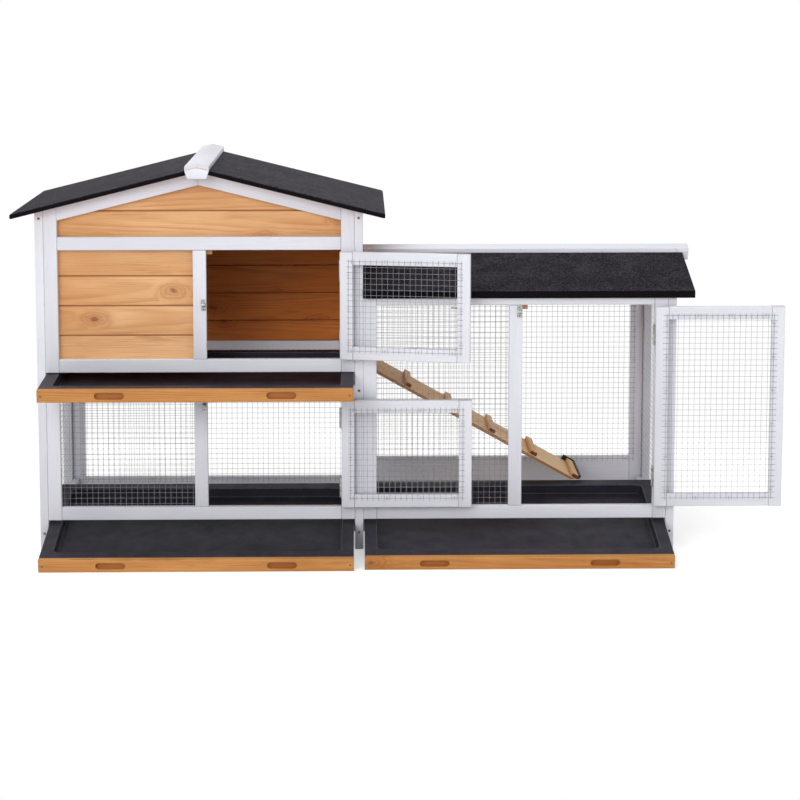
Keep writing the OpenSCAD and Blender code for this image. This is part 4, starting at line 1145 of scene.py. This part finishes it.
@dataclass
class Doors(Part):
    """The three net doors with their hinges, bolts and keepers."""

    plate_ease: float = 0.15 * MM
    plate_t: float = 1.2 * MM
    plate_screw_r: float = 1.7 * MM
    plate_margin: float = 4.2 * MM
    keeper_screw_r: float = 1.6 * MM
    keeper_margin: float = 3.6 * MM
    keeper_reach: float = 20 * MM

    def build(self) -> None:
        """Builds every door and the fixed halves of its hinges and bolt."""
        for name in LEVELS:
            hinge = joint(f"{name}_door_hinge")
            bench = Bench(tuple(hinge["pos_m"]), angle=math.radians(-min(hinge["range_deg"])))
            self.joinery.build(f"{name}_door_frame", WHITE_PAINT)
            self.nets.build(f"{name}_door_net", bench)
            for part in ("hinge_leaves", "bolt_plate", "bolt"):
                self.joinery.build(f"{name}_door_{part}", ZINC, Way.UP, self.plate_ease)
            low, high = node_box(f"{name}_door_bolt_plate", bench)
            middle, reach = (low + high) / 2, (high[2] - low[2]) / 2 - self.plate_margin
            spots = [(middle[0], high[1] - self.plate_t, middle[2] + off, -1.0) for off in (-reach, reach)]
            self.fixings.build(f"{name}_bolt_plate_screws", spots, f"{name}_door", self.plate_screw_r, bench)
        self.joinery.build("hinge_frame_leaves", ZINC, Way.UP, self.plate_ease)
        self.joinery.build("hinge_pins", ZINC, Way.UP, 0.0)
        self.joinery.build("bolt_keepers", ZINC, Way.UP, self.plate_ease)
        self._keeper_screws()

    def _keeper_screws(self) -> None:
        """Two screws on each keeper's feet: those points of the keepers that are near the bolt in height."""
        points, spots = node_points("bolt_keepers"), []
        for name in LEVELS:
            low, high = node_box(f"{name}_door_bolt")
            beside = points[:, 0] > 0 if name == "run" else points[:, 0] < 0
            near = points[beside & (np.abs(points[:, 2] - (low[2] + high[2]) / 2) < self.keeper_reach)]
            low, high = near.min(axis=0), near.max(axis=0)
            spots += [((low[0] + high[0]) / 2, high[1] - self.plate_t, z, -1.0)
                      for z in (low[2] + self.keeper_margin, high[2] - self.keeper_margin)]
        self.fixings.build("keeper_screws", spots, "cage", self.keeper_screw_r)


@dataclass
class Trays(Part):
    """Pressed pans with wooden fronts.

    A row of folds is the first and last ring of the top side that a fold covers, and the mark that it gets, which
    sets how much painted highlight the sheet's finish lays there.
    """

    rim_w: float = 28 * MM
    depth: float = 22 * MM
    corner_r: float = 14 * MM
    outer_r: float = 1.0 * MM
    sheet_t: float = 0.8 * MM
    edge_r: float = 2.2 * MM
    lip: float = 1.4 * MM
    batter: float = 1.4 * MM
    floor_in: float = 26 * MM
    tightening: float = 0.35
    tightened: float = 60 * MM
    bend_steps: int = 6
    corner_steps: int = 10
    folds: tuple = ((0, 0, 0.8), (4, 7, 0.9), (10, 13, 0.35))
    front_ease: float = 0.8 * MM
    pivot_ease: float = 0.2 * MM
    screw_r: float = 2.4 * MM
    screw_in: float = 8 * MM

    def build(self) -> None:
        """Builds the three trays and the screws that they tip over."""
        for name in LEVELS:
            tip, slide = joint(f"{name}_tray_tip"), joint(f"{name}_tray_slide")
            angle = math.atan2(slide["axis"][2], slide["axis"][1])
            bench = Bench(tuple(tip["pos_m"]), (1.0, 0.0, 0.0), angle, (0.0, -slide["range_m"][1], 0.0))
            self._pan(name, bench)
            self.joinery.build(f"{name}_tray_front", TRAY_PINE, Way.ACROSS, self.front_ease)
            self.joinery.build(f"{name}_tray_pivot_screws", ZINC, Way.ACROSS, self.pivot_ease)
            low, high = node_box(f"{name}_tray_front", bench)
            ends = (low[0] + self.screw_in, high[0] - self.screw_in)
            spots = [(x, low[1], (low[2] + high[2]) / 2, -1.0) for x in ends]
            self.fixings.build(f"{name}_tray_screws", spots, f"{name}_tray", self.screw_r, bench)

    def _pan(self, name: str, bench: Bench) -> None:
        """Pressed sheet: a profile carried round a rectangle with round corners, and a flat floor.

        The profile runs from the rim's outer edge over the rim, round the bend, down the wall and round the foot.
        At an inset d the outline is the tray's rectangle drawn in by d, whose corner radius grows to that of the
        hollow. A second set of the same rings, a sheet's thickness below, closes the underside.
        """
        low, high = node_box(f"{name}_tray_pan", bench)
        r, rim = self.edge_r, self.rim_w
        bend = np.linspace(0, np.pi / 2, self.bend_steps)
        flat = np.array([[0.0, 0.0], [self.lip, 0.0], [rim - 2 * r, 0.0]])
        over = np.stack([rim - r + r * np.sin(bend), -r + r * np.cos(bend)], axis=1)
        foot = np.stack([rim + self.batter + r - r * np.cos(bend), -self.depth + r - r * np.sin(bend)], axis=1)
        profile = np.vstack([flat, over, foot, [[rim + self.floor_in, -self.depth]]])
        ways = unit(np.gradient(profile, axis=0))
        under = profile + np.stack([ways[:, 1], -ways[:, 0]], axis=1) * self.sheet_t
        level = [0, 1, 2, -1]
        under[level] = profile[level] - [0.0, self.sheet_t]
        rings = np.vstack([under[::-1], profile])
        points, marks = self._rings(rings, (high - low)[:2] / 2, len(profile))
        sides = points.shape[:2]
        placed = points.reshape(-1, 3) + [*(low + high)[:2] / 2, high[2]]
        faces = [grid_faces(*sides, closed=True)[:, ::-1], end_faces(*sides)]
        piece = piece_of(f"{name}_tray_sheet", (bench.put(placed), faces), marks=marks.reshape(-1))
        piece.modifiers.new("flat_faces", "WEIGHTED_NORMAL").keep_sharp = True
        self.shop.dress(piece, TRAY_SHEET, f"{name}_tray", f"{name}_tray_pan")

    def _rings(self, rings: Array, half: Array, top_count: int) -> tuple[Array, Array]:
        """Points of each ring, a rectangle with round corners at the ring's inset and height.

        Args:
            rings: inset and height of each ring.
            half: half the tray's width and length.
            top_count: how many of the last rings are the top side.

        Returns:
            Points as rings by places round, and the fold mark of each.
        """
        quarter = np.linspace(0, np.pi / 2, self.corner_steps)
        angle = np.concatenate([quarter + k * np.pi / 2 for k in range(4)])
        sign = np.repeat(np.array([[1, 1], [-1, 1], [-1, -1], [1, -1]]), self.corner_steps, axis=0)
        inset = rings[:, 0][:, None]
        radius = self.outer_r + (self.corner_r - self.outer_r) * np.clip(inset / self.rim_w, 0, 1)
        past_rim = np.clip(self.rim_w - inset, -self.tightened, 0)
        radius = np.maximum(radius + past_rim * self.tightening, self.outer_r)
        x = sign[:, 0] * (half[0] - inset - radius) + radius * np.cos(angle)
        y = sign[:, 1] * (half[1] - inset - radius) + radius * np.sin(angle)
        z = np.repeat(rings[:, 1][:, None], len(angle), axis=1)
        fold, start = np.zeros(len(rings)), len(rings) - top_count
        for first, last, mark in self.folds:
            fold[start + first:start + last + 1] = mark
        return np.stack([x, y, z], axis=-1), np.repeat(fold[:, None], len(angle), axis=1)


@dataclass
class Studio:
    """Pale floor with a swept backdrop, soft lights and the camera.

    A lamp's row is its name, place, target, size and power. The paper turns to plain white over the fade.
    """

    floor: Colour = (0.86, 0.86, 0.86, 1.0)
    sky: float = 0.64
    lift: float = 0.42
    half_width: float = 12.0
    level_y: tuple[float, float] = (-11.0, 9.0)
    sweep_y: float = 9.5
    sweep: float = 1.5
    wall_top: float = 8.0
    fade: tuple[float, float] = (0.95, 1.7)
    sensor: float = 36.0
    lamps: tuple = (("key_light", (-1.8, -4.1, 2.15), (-0.1, 0.0, 0.4), 2.0, 71.0),
                    ("top_light", (-0.3, -0.6, 3.6), (0.0, 0.0, 0.4), 2.4, 36.0),
                    ("fill_light", (2.9, -2.6, 1.6), (0.2, 0.0, 0.4), 2.2, 14.0))
    lens: float = 98.65
    shift: float = -0.2
    eye: Triple = (-0.0885, -5.034, 1.3074)
    dip: float = 6.978
    swing: float = 1.044

    def build(self) -> None:
        """Builds the set round the object."""
        self._backdrop()
        self._world()
        for row in self.lamps:
            self._lamp(*row)
        self._camera()

    def _backdrop(self) -> None:
        """Floor that sweeps up into a wall: straight, a quarter circle, straight."""
        bend, level = np.linspace(0, np.pi / 2, 14), np.linspace(*self.level_y, 11)
        wall_y = self.sweep_y + self.sweep
        depth = np.concatenate([level, self.sweep_y + self.sweep * np.sin(bend), [wall_y]])
        height = np.concatenate([0 * level, self.sweep - self.sweep * np.cos(bend), [self.wall_top]])
        x, y = np.meshgrid(np.linspace(-self.half_width, self.half_width, 13), depth, indexing="ij")
        points = np.stack([x, y, np.broadcast_to(height, x.shape)], axis=-1).reshape(-1, 3)
        piece = piece_of("studio_floor", (points, [grid_faces(*x.shape)[:, ::-1]]))
        material = bpy.data.materials.new("studio_paper")
        material.use_nodes = True
        w, nodes = Wiring(material.node_tree), material.node_tree.nodes
        paper = nodes["Principled BSDF"]
        for key, value in (("Base Color", self.floor), ("Roughness", 0.95), ("Specular IOR Level", 0.0)):
            w.feed(paper.inputs[key], value)
        seen = w.seen()
        x_part, y_part, _ = w.split(w.placed())
        reach = w.math("SQRT", w.plus(w.times(x_part, x_part), w.times(y_part, y_part)))
        share = w.times(w.step(reach, *self.fade), seen)
        lift = w.node("ShaderNodeEmission", {"Strength": w.times(seen, self.lift)})
        lifted = w.node("ShaderNodeAddShader", {0: paper.outputs[0], 1: lift.outputs[0]})
        white = w.node("ShaderNodeEmission")
        mix = w.node("ShaderNodeMixShader", {0: share, 1: lifted.outputs[0], 2: white.outputs[0]})
        w.feed(nodes["Material Output"].inputs["Surface"], mix.outputs[0])
        piece.data.materials.append(material)

    def _world(self) -> None:
        """Even light from all round, white where it is looked at."""
        world = bpy.data.worlds.new("studio")
        world.use_nodes = True
        bpy.context.scene.world = world
        w, background = Wiring(world.node_tree), world.node_tree.nodes["Background"]
        w.feed(background.inputs["Color"], (1.0, 1.0, 1.0, 1.0))
        w.feed(background.inputs["Strength"], w.step(w.seen(), 0.0, 1.0, self.sky, 1.0))

    @staticmethod
    def _lamp(name: str, place: Triple, target: Triple, size: float, power: float) -> None:
        """Square area lamp that looks at a target."""
        light = bpy.data.lights.new(name, "AREA")
        light.shape, light.size, light.energy = "SQUARE", size, power
        lamp = linked(name, light)
        lamp.location = place
        x, y, z = np.array(target) - np.array(place)
        lamp.rotation_euler = (math.atan2(math.hypot(x, y), -z), 0.0, math.atan2(y, x) - math.pi / 2)

    def _camera(self) -> None:
        """The photograph's view, from a fit of the cage's corners."""
        data = bpy.data.cameras.new("camera")
        data.lens, data.sensor_width, data.shift_y = self.lens, self.sensor, self.shift
        camera = linked("camera", data)
        camera.location = self.eye
        camera.rotation_euler = (math.radians(90 - self.dip), 0.0, math.radians(-self.swing))
        bpy.context.scene.camera = camera


def main() -> None:
    """Builds the set and the parts of the cage in order."""
    logging.basicConfig(level=logging.INFO, format="%(name)s %(message)s")
    bpy.context.scene.view_settings.view_transform = "Standard"
    Studio().build()
    shop = Shop()
    makers = (shop, Joinery(shop), NetWork(shop), Fixings(shop))
    for part in (House, Run, Roofs, Ramp, Doors, Trays):
        part(*makers).build()


if __name__ == "__main__":
    main()
